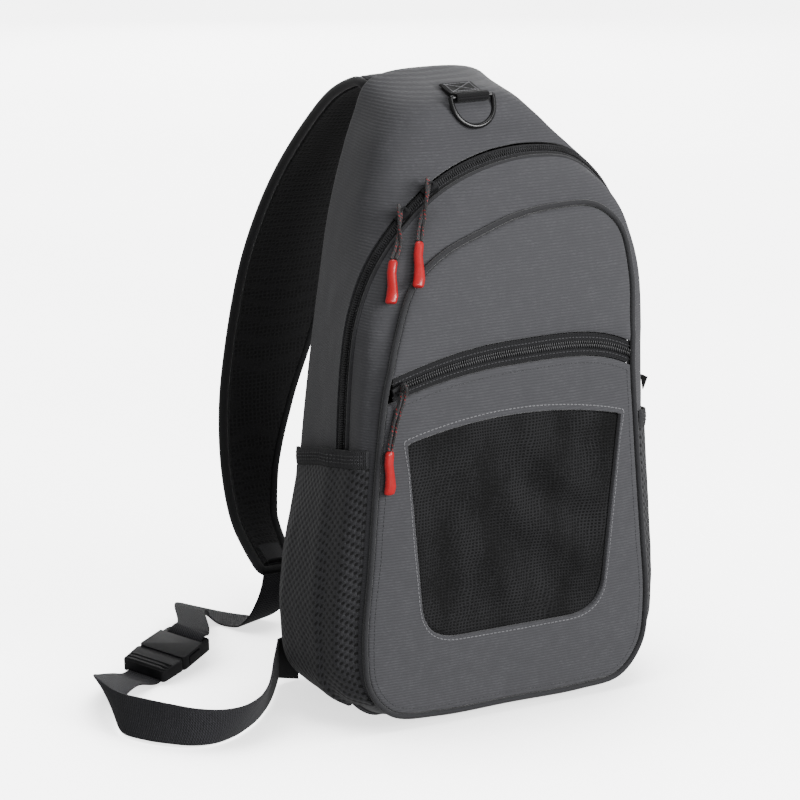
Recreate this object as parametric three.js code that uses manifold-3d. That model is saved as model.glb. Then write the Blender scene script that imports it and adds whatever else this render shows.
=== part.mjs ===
// Fishing tackle sling bag, built piece by piece as the sewn bag is.
// Millimetres, +Z up. The origin is the middle of the base, the front faces -Y and +X is the viewer's right.

import * as THREE from 'three';
import { mergeVertices } from 'three/addons/utils/BufferGeometryUtils.js';
import Module from 'manifold-3d';

const wasm = await Module();
wasm.setup();

// Driving sizes of the body
const bodyHalf = 120;            // half of the widest part
const bodyHeight = 454;
const frontY = -75;              // plane of the front pocket
const backY = 60;                // plane of the back panel
const clothWall = 2.5;
const seamGap = 0.35;            // between pieces that are sewn together
const backRound = 7;             // rounding of the seam round the back panel
const gussetPuff = 5;            // how far the front side band swells
const frontLean = 0.25;          // the upper front leans back by this share of its height
const panelPuff = 5;             // how far the front panels swell
const frontPipingRadius = 2.1;
const outerPipingRadius = 1.7;
const ringSteps = 48;            // points round the body, two for each row of the loop tables
const rowCount = 24;

// Back pad
const padThickness = 9;
const padShare = 0.87;           // of the back outline, about a centre at this height
const padCentre = 205;

// Zips
const zipTapeThickness = 1.2;
const coilHeight = 1.6;
const pocketZipWidth = 17;
const pocketZipSpan = 0.84;      // half of its length, as a share of bodyHalf
const pocketZipLevel = 268;      // height of its middle
const pocketZipEndDrop = 15;
const pocketZipTilt = 2;         // the right end lies higher than the left by twice this

// Window of mesh in the front pocket
const windowTopHalf = 88;
const windowBottomHalf = 75;
const windowBottom = 65;
const windowSideTop = 214;
const windowCrown = 11;
const windowCorner = 30;
const meshWall = 1;
const meshHem = 4;               // the mesh runs on behind the panel by this
const windowCentre = { x: 1, z: 142 };

// Side pockets
const pocketBulge = 22;
const pocketWall = 1.8;
const pocketSeamLift = 0.7;      // the pocket's edges lie this far off the side
const elasticHeight = 13;
const elasticThickness = 2;

// D-ring on the top panel
const tabWidth = 26;
const tabThickness = 1.8;
const ringWire = 3.8;
const ringWidth = 38;            // outside
const ringDrop = 24;             // from the bar's axis to the outside of the bow
const barRadius = 1.6;
const runningGap = 0.4;
const ringHang = 50;             // the ring hangs this steeply below the panel's slope, in degrees

// Shoulder strap
const strapHalf = 48;
const strapReach = 256;          // how far its bow stands behind the origin
const strapTop = 460;
const strapCoverThickness = 2;
const strapPadThickness = 8;
const bindingRadius = 3.6;
const patchLength = 42;
const patchThickness = 1.4;

// Webbing and buckle
const webbingWidth = 30;
const webbingThickness = 1.6;
const webbingReach = 276;        // how far the webbing lies to the left of the origin
const webbingBack = 216;         // and behind it
const webbingRise = 45;          // height of its upper end
const buckleWidth = 41;
const femaleLength = 37;
const maleLength = 23;
const buckleThickness = 11;
const buckleWall = 1.8;
const prongReach = 20;
const slotLength = 4.6;          // of the slots that take the webbing
const barLength = 4;             // of the bars between them
const buckleGap = 0.4;
const anchorSpread = 38;         // width of the anchor where it is sewn to the body
const anchorThickness = 2.4;
const sideTab = { width: 9, drop: 11, thickness: 1.2 };

// Zip sliders and their pulls
const sliderWidth = 8.5;
const sliderLength = 12;
const sliderThickness = 2.6;
const bridgeSpan = 6.8;
const bridgeWire = 1.2;
const bridgeClear = 3.1;         // room under the bridge for the cord
const cordDiameter = 2.3;
const gripWidth = 8.5;
const gripThickness = 6;

// Colours, and the roughness and metalness of each material
const looks = {
  grey_fabric: { color: 0x54545a, roughness: 0.85, metalness: 0 },
  dark_fabric: { color: 0x424246, roughness: 0.85, metalness: 0 },
  black_mesh: { color: 0x1e1e20, roughness: 0.9, metalness: 0 },
  black_elastic: { color: 0x323236, roughness: 0.8, metalness: 0 },
  black_webbing: { color: 0x2d2d32, roughness: 0.75, metalness: 0 },
  black_piping: { color: 0x1c1c1e, roughness: 0.8, metalness: 0 },
  zip_coil: { color: 0x232327, roughness: 0.5, metalness: 0 },
  black_plastic: { color: 0x1f1f22, roughness: 0.45, metalness: 0 },
  black_metal: { color: 0x1a1a1c, roughness: 0.35, metalness: 0.8 },
  cord: { color: 0x2a1a1c, roughness: 0.8, metalness: 0 },
  red_grip: { color: 0xeb323c, roughness: 0.45, metalness: 0 },
};

// Loops round the body, one row for each of the same 24 stations, clockwise seen from the front and starting
// in the middle of the base. x is a share of bodyHalf, z a share of bodyHeight, y a share of the depth.
const frontLoop = [
  { x: 0, z: 0.018 }, { x: -0.5, z: 0.018 }, { x: -0.8, z: 0.03 }, { x: -0.95, z: 0.075 },
  { x: -0.985, z: 0.15 }, { x: -0.945, z: 0.28 }, { x: -0.9, z: 0.43 }, { x: -0.835, z: 0.565 },
  { x: -0.74, z: 0.64 }, { x: -0.6, z: 0.71 }, { x: -0.38, z: 0.752 }, { x: -0.12, z: 0.777 },
  { x: 0.14, z: 0.797 }, { x: 0.42, z: 0.805 }, { x: 0.68, z: 0.8 }, { x: 0.835, z: 0.765 },
  { x: 0.88, z: 0.69 }, { x: 0.84, z: 0.58 }, { x: 0.875, z: 0.43 }, { x: 0.93, z: 0.27 },
  { x: 0.965, z: 0.15 }, { x: 0.93, z: 0.075 }, { x: 0.78, z: 0.028 }, { x: 0.5, z: 0.018 },
];
const outerLoop = [
  { x: 0, z: 0.006, y: 0.25 }, { x: -0.5, z: 0.006, y: 0.25 }, { x: -0.8, z: 0.012, y: 0.25 },
  { x: -0.97, z: 0.06, y: 0.25 }, { x: -1, z: 0.15, y: 0.25 }, { x: -0.98, z: 0.28, y: 0.25 },
  { x: -0.955, z: 0.43, y: 0.25 }, { x: -0.925, z: 0.575, y: 0.25 }, { x: -0.88, z: 0.65, y: 0.255 },
  { x: -0.765, z: 0.72, y: 0.27 }, { x: -0.58, z: 0.777, y: 0.3 }, { x: -0.3, z: 0.835, y: 0.31 },
  { x: 0.02, z: 0.867, y: 0.318 }, { x: 0.36, z: 0.877, y: 0.32 }, { x: 0.62, z: 0.864, y: 0.318 },
  { x: 0.83, z: 0.815, y: 0.305 }, { x: 0.99, z: 0.72, y: 0.27 }, { x: 1.05, z: 0.58, y: 0.25 },
  { x: 1.03, z: 0.43, y: 0.25 }, { x: 1, z: 0.27, y: 0.25 }, { x: 0.99, z: 0.15, y: 0.25 },
  { x: 0.96, z: 0.06, y: 0.25 }, { x: 0.79, z: 0.012, y: 0.25 }, { x: 0.5, z: 0.006, y: 0.25 },
];
const mouthLoop = [
  { x: 0, z: 0, y: 0.272 }, { x: -0.5, z: 0, y: 0.272 }, { x: -0.8, z: 0.004, y: 0.272 },
  { x: -0.97, z: 0.05, y: 0.272 }, { x: -1, z: 0.15, y: 0.275 }, { x: -0.985, z: 0.28, y: 0.31 },
  { x: -0.965, z: 0.43, y: 0.36 }, { x: -0.935, z: 0.58, y: 0.36 }, { x: -0.885, z: 0.66, y: 0.36 },
  { x: -0.77, z: 0.732, y: 0.37 }, { x: -0.56, z: 0.798, y: 0.385 }, { x: -0.26, z: 0.858, y: 0.395 },
  { x: 0.05, z: 0.888, y: 0.407 }, { x: 0.37, z: 0.895, y: 0.41 }, { x: 0.63, z: 0.882, y: 0.405 },
  { x: 0.85, z: 0.833, y: 0.39 }, { x: 1.01, z: 0.73, y: 0.365 }, { x: 1.055, z: 0.58, y: 0.355 },
  { x: 1.03, z: 0.43, y: 0.36 }, { x: 1, z: 0.27, y: 0.31 }, { x: 0.99, z: 0.15, y: 0.275 },
  { x: 0.96, z: 0.05, y: 0.272 }, { x: 0.79, z: 0.004, y: 0.272 }, { x: 0.5, z: 0, y: 0.272 },
];
const shoulderLoop = [
  { x: 0, z: 0, y: 0.65 }, { x: -0.48, z: 0, y: 0.65 }, { x: -0.74, z: 0.003, y: 0.65 },
  { x: -0.9, z: 0.045, y: 0.65 }, { x: -0.94, z: 0.15, y: 0.65 }, { x: -0.93, z: 0.28, y: 0.65 },
  { x: -0.9, z: 0.43, y: 0.65 }, { x: -0.86, z: 0.58, y: 0.65 }, { x: -0.81, z: 0.67, y: 0.65 },
  { x: -0.73, z: 0.76, y: 0.63 }, { x: -0.64, z: 0.84, y: 0.6 }, { x: -0.52, z: 0.905, y: 0.56 },
  { x: -0.34, z: 0.945, y: 0.52 }, { x: 0.03, z: 0.963, y: 0.5 }, { x: 0.39, z: 0.955, y: 0.51 },
  { x: 0.6, z: 0.885, y: 0.55 }, { x: 0.8, z: 0.76, y: 0.61 }, { x: 0.86, z: 0.6, y: 0.65 },
  { x: 0.885, z: 0.43, y: 0.65 }, { x: 0.91, z: 0.27, y: 0.65 }, { x: 0.92, z: 0.15, y: 0.65 },
  { x: 0.88, z: 0.045, y: 0.65 }, { x: 0.72, z: 0.003, y: 0.65 }, { x: 0.47, z: 0, y: 0.65 },
];
const backLoop = [
  { x: 0, z: 0, y: 1 }, { x: -0.44, z: 0, y: 1 }, { x: -0.7, z: 0.003, y: 1 }, { x: -0.86, z: 0.045, y: 1 },
  { x: -0.89, z: 0.15, y: 1 }, { x: -0.89, z: 0.28, y: 1 }, { x: -0.845, z: 0.43, y: 1 },
  { x: -0.775, z: 0.58, y: 1 }, { x: -0.725, z: 0.67, y: 1 }, { x: -0.665, z: 0.77, y: 1 },
  { x: -0.58, z: 0.86, y: 1 }, { x: -0.49, z: 0.93, y: 1 }, { x: -0.385, z: 0.985, y: 1 },
  { x: 0, z: 1, y: 1 }, { x: 0.39, z: 0.983, y: 1 }, { x: 0.51, z: 0.92, y: 1 }, { x: 0.655, z: 0.78, y: 1 },
  { x: 0.765, z: 0.6, y: 1 }, { x: 0.845, z: 0.43, y: 1 }, { x: 0.89, z: 0.28, y: 1 },
  { x: 0.89, z: 0.15, y: 1 }, { x: 0.86, z: 0.045, y: 1 }, { x: 0.7, z: 0.003, y: 1 },
  { x: 0.44, z: 0, y: 1 },
];

// Side pocket: share of pocketBulge up the pocket, and from its front seam (0) to its back seam (1)
const bulgeUp = [
  { at: 0, share: 0 }, { at: 0.08, share: 0.4 }, { at: 0.25, share: 0.85 }, { at: 0.5, share: 1 },
  { at: 0.75, share: 0.75 }, { at: 0.9, share: 0.38 }, { at: 1, share: 0.14 },
];
const bulgeAlong = [
  { at: 0, share: 0 }, { at: 0.12, share: 0.35 }, { at: 0.4, share: 0.75 }, { at: 0.72, share: 1 },
  { at: 0.9, share: 0.72 }, { at: 1, share: 0 },
];
// The pocket's hem: station row of its top edge, from the front seam to the back seam
const hemRows = [{ at: 0, row: 6.02 }, { at: 0.5, row: 5.86 }, { at: 1, row: 5.62 }];
const pocketFrontShare = 0.045;  // depth share of its front seam
const pocketBackShare = 0.94;

// Shoulder strap: left is the left edge in x as a share of bodyHalf, back a share of strapReach, up a share of
// strapTop, half a share of strapHalf, and roll the angle in degrees by which the left edge is lifted
const strapRows = [
  { left: -0.385, back: 0.242, up: 0.983, half: 0.96, roll: 0 },
  { left: -0.395, back: 0.285, up: 0.99, half: 0.98, roll: 2 },
  { left: -0.4, back: 0.34, up: 0.977, half: 0.99, roll: 2 },
  { left: -0.42, back: 0.43, up: 0.938, half: 1, roll: 1 },
  { left: -0.44, back: 0.57, up: 0.865, half: 1, roll: 0 },
  { left: -0.47, back: 0.725, up: 0.775, half: 0.98, roll: 0 },
  { left: -0.5, back: 0.83, up: 0.69, half: 0.95, roll: 0 },
  { left: -0.53, back: 0.92, up: 0.588, half: 0.9, roll: 0 },
  { left: -0.575, back: 0.985, up: 0.435, half: 0.78, roll: 0 },
  { left: -0.6, back: 1, up: 0.335, half: 0.66, roll: 0 },
  { left: -0.625, back: 0.965, up: 0.24, half: 0.52, roll: 0 },
  { left: -0.65, back: 0.88, up: 0.165, half: 0.42, roll: 0 },
  { left: -0.66, back: 0.77, up: 0.125, half: 0.38, roll: 0 },
  { left: -0.665, back: 0.7, up: 0.108, half: 0.37, roll: 0 },
];

// Webbing, as shares of webbingReach to the left, webbingBack to the back and webbingRise upward. The width
// of the webbing points along the turn in plan, in degrees from +X, and stands up by the stand.
const upperWebbing = [
  { left: 0.227, back: 0.785, up: 1, turn: 0, stand: 0 },
  { left: 0.24, back: 0.774, up: 0.8, turn: 2, stand: 0 },
  { left: 0.258, back: 0.775, up: 0.55, turn: 5, stand: 0 },
  { left: 0.278, back: 0.8, up: 0.28, turn: 12, stand: 0 },
  { left: 0.297, back: 0.845, up: 0.1, turn: 24, stand: 0 },
  { left: 0.32, back: 0.91, up: 0.035, turn: 42, stand: 0 },
  { left: 0.352, back: 0.972, up: 0.04, turn: 62, stand: 0 },
  { left: 0.395, back: 0.99, up: 0.16, turn: 88, stand: 0 },
  { left: 0.442, back: 0.945, up: 0.36, turn: 112, stand: 0 },
  { left: 0.484, back: 0.86, up: 0.5, turn: 116, stand: 0 },
];
const lowerWebbing = [
  { left: 0.825, back: 0.45, up: 0.188, turn: 113, stand: 4 },
  { left: 0.88, back: 0.385, up: 0.278, turn: 117, stand: 14 },
  { left: 0.935, back: 0.285, up: 0.378, turn: 118, stand: 35 },
  { left: 0.968, back: 0.17, up: 0.398, turn: 108, stand: 58 },
  { left: 0.974, back: 0.055, up: 0.378, turn: 88, stand: 74 },
  { left: 0.94, back: -0.047, up: 0.388, turn: 62, stand: 82 },
  { left: 0.9, back: -0.124, up: 0.393, turn: -40, stand: 87 },
  { left: 0.853, back: -0.18, up: 0.378, turn: -83, stand: 79 },
  { left: 0.795, back: -0.203, up: 0.358, turn: -78, stand: 70 },
  { left: 0.732, back: -0.187, up: 0.348, turn: -69, stand: 64 },
  { left: 0.672, back: -0.142, up: 0.358, turn: -60, stand: 64 },
  { left: 0.618, back: -0.076, up: 0.373, turn: -54, stand: 70 },
  { left: 0.57, back: 0.002, up: 0.398, turn: -53, stand: 78 },
  { left: 0.525, back: 0.088, up: 0.418, turn: -60, stand: 85 },
  { left: 0.481, back: 0.176, up: 0.443, turn: -70, stand: 88 },
  { left: 0.45, back: 0.24, up: 0.458, turn: -80, stand: 89 },
];
// Middle of the buckle, as shares of the same three, and how it lies
const bucklePlace = { left: 0.66, back: 0.567, up: 0.293 };
const buckleTurn = 28.7;         // in plan, in degrees
const buckleTilt = 9.7;          // its female end is the higher
const buckleRoll = 5.5;

// Grip of a pull, from the cord's end to the flared end
const gripRows = [
  { at: 0, half: 0.56, thick: 0.6, sway: 0 }, { at: 0.07, half: 0.76, thick: 0.85, sway: 0.02 },
  { at: 0.3, half: 0.78, thick: 0.9, sway: 0.08 }, { at: 0.6, half: 0.84, thick: 0.92, sway: -0.05 },
  { at: 0.82, half: 0.98, thick: 1, sway: -0.08 }, { at: 0.95, half: 0.96, thick: 0.88, sway: 0 },
  { at: 1, half: 0.7, thick: 0.55, sway: 0.02 },
];

// The pulls lie where they fell. Each cord's route, in millimetres, goes from its grip up to the slider,
// under the bridge, over it and back. top, end and face are the ends of the grip's middle line and the side
// that it turns outward.
const pulls = {
  main_upper: {
    cord: [
      [-63, -50.4, 351.4], [-56.8, -42.5, 362], [-47.3, -35.6, 377.9], [-43, -30.5, 384.7],
      [-42.1, -28.4, 387.2], [-43.1, -28.8, 390.2], [-45.7, -32.5, 389.2], [-48.8, -37.8, 380.4],
      [-54, -43.4, 361.6], [-60.2, -51.1, 350.9],
    ],
    top: [-61.8, -51.1, 350.4], end: [-72.5, -68.9, 323], face: [-0.15, -0.86, 0.48],
  },
  main_lower: {
    cord: [
      [-82.7, -48.3, 340], [-75.9, -42.6, 347.2], [-69.2, -35.9, 360.8], [-65.5, -31.1, 367.8],
      [-65.1, -28.8, 370.2], [-66.5, -29, 373], [-68.6, -33, 372.1], [-70.8, -37.8, 363],
      [-73.3, -44.2, 347.2], [-80.1, -49.9, 339.9],
    ],
    top: [-81.8, -49.5, 339.2], end: [-90.7, -62.6, 312], face: [-0.45, -0.75, 0.5],
  },
  pocket: {
    cord: [
      [-103, -81, 211.8], [-98.5, -79.7, 228], [-94.5, -80.3, 244], [-92, -80.9, 253.8],
      [-91.6, -81.2, 257.2], [-91.3, -84.2, 258.5], [-91.2, -86.4, 254.5], [-92.6, -83.7, 245],
      [-95.5, -79.9, 228], [-100, -81, 211.8],
    ],
    top: [-101.5, -81, 211], end: [-102, -81.4, 180], face: [0, -1, 0],
  },
};
const mainUpperRow = 10.82;      // station rows of the sliders on the main zip
const mainLowerRow = 10.2;
const pocketSliderShare = -0.913;  // place of the pocket's slider, from the middle (0) to the zip's end (1)

const depth = backY - frontY;

// Points and curves

function point(x, y, z) {
  return new THREE.Vector3(x, y, z);
}

function frontPlane(z) {
  return frontY + frontLean * Math.max(0, z - pocketZipLevel);
}

function smoothCurve(points, closed) {
  return new THREE.CatmullRomCurve3(points, closed, 'centripetal');
}

// The curve may swing a little below the base, so its points are lifted back on to it
function sampleRing(points) {
  const curve = smoothCurve(points, true);
  return Array.from({ length: ringSteps }, (_, i) => {
    const p = curve.getPoint(i / ringSteps);
    return p.setZ(Math.max(0, p.z));
  });
}

function loopRing(rows) {
  return sampleRing(rows.map((row) => {
    const z = row.z * bodyHeight;
    const y = row.y === undefined ? frontPlane(z) : frontY + row.y * depth;
    return point(row.x * bodyHalf, y, z);
  }));
}

// Moves each point of a ring inward in the x-z plane; the rings run clockwise seen from the front
function insetRing(ring, amount) {
  return ring.map((p, i) => {
    const before = ring[(i + ring.length - 1) % ring.length];
    const after = ring[(i + 1) % ring.length];
    const tangent = after.clone().sub(before);
    const inward = point(tangent.z, 0, -tangent.x).normalize();
    const distance = typeof amount === 'function' ? amount(p) : amount;
    return p.clone().addScaledVector(inward, distance);
  });
}

function shiftRing(ring, dy) {
  return ring.map((p) => p.clone().setY(p.y + dy));
}

function mixRings(a, b, share) {
  return a.map((p, i) => p.clone().lerp(b[i], share));
}

function moveTowards(ring, other, distance) {
  return ring.map((p, i) => p.clone().addScaledVector(other[i].clone().sub(p).normalize(), distance));
}

function centreOf(points) {
  const sum = points.reduce((total, p) => total.add(p), point(0, 0, 0));
  return sum.divideScalar(points.length);
}

function lookUp(table, column, at) {
  const last = table.length - 1;
  const k = Math.min(last - 1, Math.max(0, table.findIndex((row) => row.at > at) - 1));
  const found = at >= table[last].at ? last - 1 : k;
  const low = table[found];
  const high = table[found + 1];
  const share = THREE.MathUtils.clamp((at - low.at) / (high.at - low.at), 0, 1);
  return THREE.MathUtils.lerp(low[column], high[column], share);
}

// Solids

function closedGeometry(positions, index) {
  const geometry = new THREE.BufferGeometry();
  geometry.setAttribute('position', new THREE.Float32BufferAttribute(positions, 3));
  geometry.setIndex(signedVolume(positions, index) < 0 ? index.slice().reverse() : index);
  geometry.computeVertexNormals();
  return geometry;
}

function signedVolume(positions, index) {
  const value = (k, axis) => positions[3 * index[k] + axis];
  const corner = (k) => point(value(k, 0), value(k, 1), value(k, 2));
  let volume = 0;
  for (let k = 0; k < index.length; k += 3) {
    volume += corner(k).dot(corner(k + 1).cross(corner(k + 2))) / 6;
  }
  return volume;
}

// A sheet with a front and a back grid of points, joined round its rim. A row of one point is a pole.
function sheetSolid(front, back, closed = false) {
  const positions = [];
  const index = [];
  const store = (grid) => grid.map((row) => row.map((p) => {
    positions.push(p.x, p.y, p.z);
    return positions.length / 3 - 1;
  }));
  const a = store(front);
  const b = store(back);
  const face = (corners, turned) => index.push(...(turned ? corners.reverse() : corners));
  const strip = (p, q, wrap, turned = false) => {
    const count = Math.max(p.length, q.length);
    if (count === 1) return;
    for (let i = 0; i < (wrap ? count : count - 1); i += 1) {
      const j = (i + 1) % count;
      if (p.length > 1) face([p[i], p[j], q.length > 1 ? q[j] : q[0]], turned);
      if (q.length > 1) face([p.length > 1 ? p[i] : p[0], q[j], q[i]], turned);
    }
  };
  const last = a.length - 1;
  for (let k = 0; k < last; k += 1) {
    strip(a[k], a[k + 1], closed);
    strip(b[k], b[k + 1], closed, true);
  }
  strip(b[0], a[0], closed);
  strip(a[last], b[last], closed);
  if (!closed) {
    strip(a.map((row) => row[0]), b.map((row) => row[0]), false);
    strip(b.map((row) => row[row.length - 1]), a.map((row) => row[row.length - 1]), false);
  }
  return closedGeometry(positions, index);
}

// A solid through rings of points, closed on itself or with a flat cap at each end
function ringSolid(rings, closed = false) {
  const positions = [];
  const index = [];
  const ids = rings.map((ring) => ring.map((p) => {
    positions.push(p.x, p.y, p.z);
    return positions.length / 3 - 1;
  }));
  const sides = rings[0].length;
  for (let k = 0; k < (closed ? rings.length : rings.length - 1); k += 1) {
    const p = ids[k];
    const q = ids[(k + 1) % rings.length];
    for (let i = 0; i < sides; i += 1) {
      const j = (i + 1) % sides;
      index.push(p[i], p[j], q[j], p[i], q[j], q[i]);
    }
  }
  if (!closed) {
    const caps = [{ ring: 0, flip: true }, { ring: rings.length - 1, flip: false }];
    for (const cap of caps) {
      const middle = centreOf(rings[cap.ring]);
      positions.push(middle.x, middle.y, middle.z);
      const pole = positions.length / 3 - 1;
      for (let i = 0; i < sides; i += 1) {
        const j = (i + 1) % sides;
        const edge = [ids[cap.ring][i], ids[cap.ring][j]];
        if (cap.flip) edge.reverse();
        index.push(edge[0], edge[1], pole);
      }
    }
  }
  return closedGeometry(positions, index);
}

// A round section along a line of points. reference is a direction that the line never takes.
function tubeSolid(points, radius, sides, closed, reference) {
  const rings = points.map((p, i) => {
    const before = points[closed ? (i + points.length - 1) % points.length : Math.max(0, i - 1)];
    const after = points[closed ? (i + 1) % points.length : Math.min(points.length - 1, i + 1)];
    const tangent = after.clone().sub(before).normalize();
    const side = tangent.clone().cross(reference).normalize();
    const up = side.clone().cross(tangent).normalize();
    const r = typeof radius === 'function' ? radius(i / (points.length - 1)) : radius;
    return Array.from({ length: sides }, (_, k) => {
      const angle = (2 * Math.PI * k) / sides;
      return p.clone().addScaledVector(side, r * Math.cos(angle)).addScaledVector(up, r * Math.sin(angle));
    });
  });
  return ringSolid(rings, closed);
}

// Joins and cuts

function toSolid(geometry) {
  const bare = geometry.clone();
  bare.deleteAttribute('normal');
  bare.deleteAttribute('uv');
  const merged = mergeVertices(bare, 1e-4);
  return new wasm.Manifold(new wasm.Mesh({
    numProp: 3,
    vertProperties: new Float32Array(merged.attributes.position.array),
    triVerts: new Uint32Array(merged.index.array),
  }));
}

function fromSolid(solid) {
  const mesh = solid.getMesh();
  const geometry = new THREE.BufferGeometry();
  geometry.setAttribute('position', new THREE.BufferAttribute(new Float32Array(mesh.vertProperties), 3));
  geometry.setIndex(Array.from(mesh.triVerts));
  geometry.computeVertexNormals();
  return geometry;
}

function box(width, deep, high, x, y, z) {
  return new THREE.BoxGeometry(width, deep, high).translate(x, y, z);
}

// Rings of the body

const front = loopRing(frontLoop).map((p) => p.setY(frontPlane(p.z)));
const outer = loopRing(outerLoop);
const mouth = loopRing(mouthLoop);
const shoulder = loopRing(shoulderLoop);
const back = loopRing(backLoop);

const gussetFront = shiftRing(front, Math.max(frontPipingRadius, clothWall) + seamGap);
const gussetBack = shiftRing(outer, -outerPipingRadius - seamGap);
const gussetMiddle = insetRing(
  mixRings(front, outer, 0.45),
  (p) => -gussetPuff * THREE.MathUtils.smoothstep(p.z, 0, 0.12 * bodyHeight),
);
const backEdge = shiftRing(back, -backRound);
const backInset = insetRing(back, backRound);

// The side of the body: station row and depth share to a point on the skin
const skinRings = [
  { at: 0, ring: front }, { at: 0.12, ring: gussetMiddle }, { at: 0.25, ring: outer },
  { at: 0.36, ring: mouth }, { at: 0.65, ring: shoulder }, { at: 1, ring: back },
];

function ringPoint(ring, row) {
  const place = ((row % rowCount) + rowCount) % rowCount * (ringSteps / rowCount);
  const k = Math.floor(place);
  return ring[k % ringSteps].clone().lerp(ring[(k + 1) % ringSteps], place - k);
}

function skinPoint(row, share) {
  const k = Math.min(skinRings.length - 2, Math.max(0, skinRings.findIndex((s) => s.at > share) - 1));
  const low = skinRings[k];
  const high = skinRings[k + 1];
  const mix = (share - low.at) / (high.at - low.at);
  return ringPoint(low.ring, row).lerp(ringPoint(high.ring, row), mix);
}

function mainShell() {
  const rows = [mouth, shoulder, backEdge, backInset];
  const inner = [
    insetRing(mouth, clothWall),
    insetRing(shoulder, clothWall),
    insetRing(backEdge, clothWall),
    shiftRing(insetRing(backInset, clothWall / 2), -clothWall),
  ];
  return sheetSolid(
    [...rows, [centreOf(backInset)]],
    [...inner, [centreOf(inner[3])]],
    true,
  );
}

function frontGusset() {
  const rows = [gussetFront, gussetMiddle, gussetBack];
  return sheetSolid(rows, rows.map((ring) => insetRing(ring, clothWall)), true);
}

function piping(ring, radius) {
  return tubeSolid(ring, radius, 6, true, point(0, 1, 0));
}

function backPad() {
  const near = backY + seamGap;
  const outline = (share, y) => back.map((p) => point(
    p.x * share,
    y,
    padCentre + (p.z - padCentre) * share,
  ));
  const edge = [outline(padShare, near + 0.4 * padThickness), outline(0.92 * padShare, near + padThickness)];
  const base = [outline(padShare, near), outline(0.92 * padShare, near)];
  return sheetSolid([...edge, [centreOf(edge[1])]], [...base, [centreOf(base[1])]], true);
}

// Front panels, worked out by rays from a centre in the x-z plane

function zipLevel(x) {
  const u = x / (bodyHalf * pocketZipSpan);
  const power = u < 0 ? 2 : 4;
  return pocketZipLevel + pocketZipTilt * u - pocketZipEndDrop * Math.abs(u) ** power;
}

function insidePolygon(polygon, x, z) {
  let inside = false;
  polygon.forEach((p, i) => {
    const q = polygon[(i + polygon.length - 1) % polygon.length];
    if (p.z > z !== q.z > z && x < ((q.x - p.x) * (z - p.z)) / (q.z - p.z) + p.x) inside = !inside;
  });
  return inside;
}

// The farthest point of an area along each ray from its centre. The nearest ray turns to each corner.
function rayAngles(centre, count, corners) {
  const angles = Array.from({ length: count }, (_, i) => (2 * Math.PI * i) / count);
  for (const corner of corners) {
    const angle = Math.atan2(-(corner.x - centre.x), -(corner.z - centre.z));
    const k = Math.round((((angle + 2 * Math.PI) % (2 * Math.PI)) / (2 * Math.PI)) * count) % count;
    angles[k] = angle;
  }
  return angles;
}

function raysTo(centre, angles, isInside) {
  return angles.map((angle) => {
    const direction = { x: -Math.sin(angle), z: -Math.cos(angle) };
    let near = 0;
    let far = 3 * bodyHalf;
    for (let step = 0; step < 40; step += 1) {
      const middle = (near + far) / 2;
      if (isInside(centre.x + middle * direction.x, centre.z + middle * direction.z)) near = middle;
      else far = middle;
    }
    return { x: centre.x + near * direction.x, z: centre.z + near * direction.z };
  });
}

const panelEdge = insetRing(front, frontPipingRadius + seamGap);

// Where the panels' edge crosses the pocket zip's edge, as a station row. side is -1 or 1.
function crossing(side, offset) {
  let low = side < 0 ? 5.5 : 18.5;
  let high = side < 0 ? 9 : 15;
  for (let step = 0; step < 40; step += 1) {
    const middle = (low + high) / 2;
    const p = ringPoint(panelEdge, middle);
    if (p.z < zipLevel(p.x) + offset) low = middle;
    else high = middle;
  }
  return high;
}

function onFront(p, lift) {
  return point(p.x, frontPlane(p.z) - lift, p.z);
}

function towards(p, centre, share) {
  return { x: centre.x + (p.x - centre.x) * share, z: centre.z + (p.z - centre.z) * share };
}

const zipEdge = pocketZipWidth / 2 + seamGap;
const panelColumns = 22;
const panelLevels = [0, 0.12, 0.35, 0.65, 0.88, 1];

function upperPanel() {
  const first = crossing(-1, zipEdge);
  const last = crossing(1, zipEdge);
  const left = ringPoint(panelEdge, first).x;
  const right = ringPoint(panelEdge, last).x;
  const columns = Array.from({ length: panelColumns }, (_, i) => i / (panelColumns - 1));
  const swell = (share) => Math.sqrt(Math.max(0, 1 - (2 * share - 1) ** 2));
  const rows = panelLevels.map((up) => columns.map((across) => {
    const x = THREE.MathUtils.lerp(left, right, across);
    const foot = { x, z: zipLevel(x) + zipEdge };
    const top = ringPoint(panelEdge, THREE.MathUtils.lerp(first, last, across));
    const place = towards(top, foot, up);
    return onFront(place, panelPuff * swell(across) * swell(up));
  }));
  return sheetSolid(rows, rows.map((row) => shiftRing(row, clothWall)));
}

const windowOutline = (() => {
  const shape = new THREE.Shape();
  const bottom = windowBottomHalf;
  shape.moveTo(-bottom + windowCorner, windowBottom);
  shape.lineTo(bottom - windowCorner, windowBottom);
  shape.quadraticCurveTo(bottom, windowBottom, bottom + 1.5, windowBottom + windowCorner);
  shape.lineTo(windowTopHalf, windowSideTop);
  shape.quadraticCurveTo(0, windowSideTop + 2 * windowCrown, -windowTopHalf, windowSideTop);
  shape.lineTo(-bottom - 1.5, windowBottom + windowCorner);
  shape.quadraticCurveTo(-bottom, windowBottom, -bottom + windowCorner, windowBottom);
  return shape.getPoints(8).map((p) => ({ x: p.x + windowCentre.x, z: p.y }));
})();

function panelBelow(x, z) {
  return insidePolygon(panelEdge, x, z) && z < zipLevel(x) - zipEdge;
}

const panelCorners = [-1, 1].map((side) => ringPoint(panelEdge, crossing(side, -zipEdge)));
const windowAngles = rayAngles(windowCentre, ringSteps, panelCorners);
const windowEdge = raysTo(windowCentre, windowAngles, (x, z) => insidePolygon(windowOutline, x, z));

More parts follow.
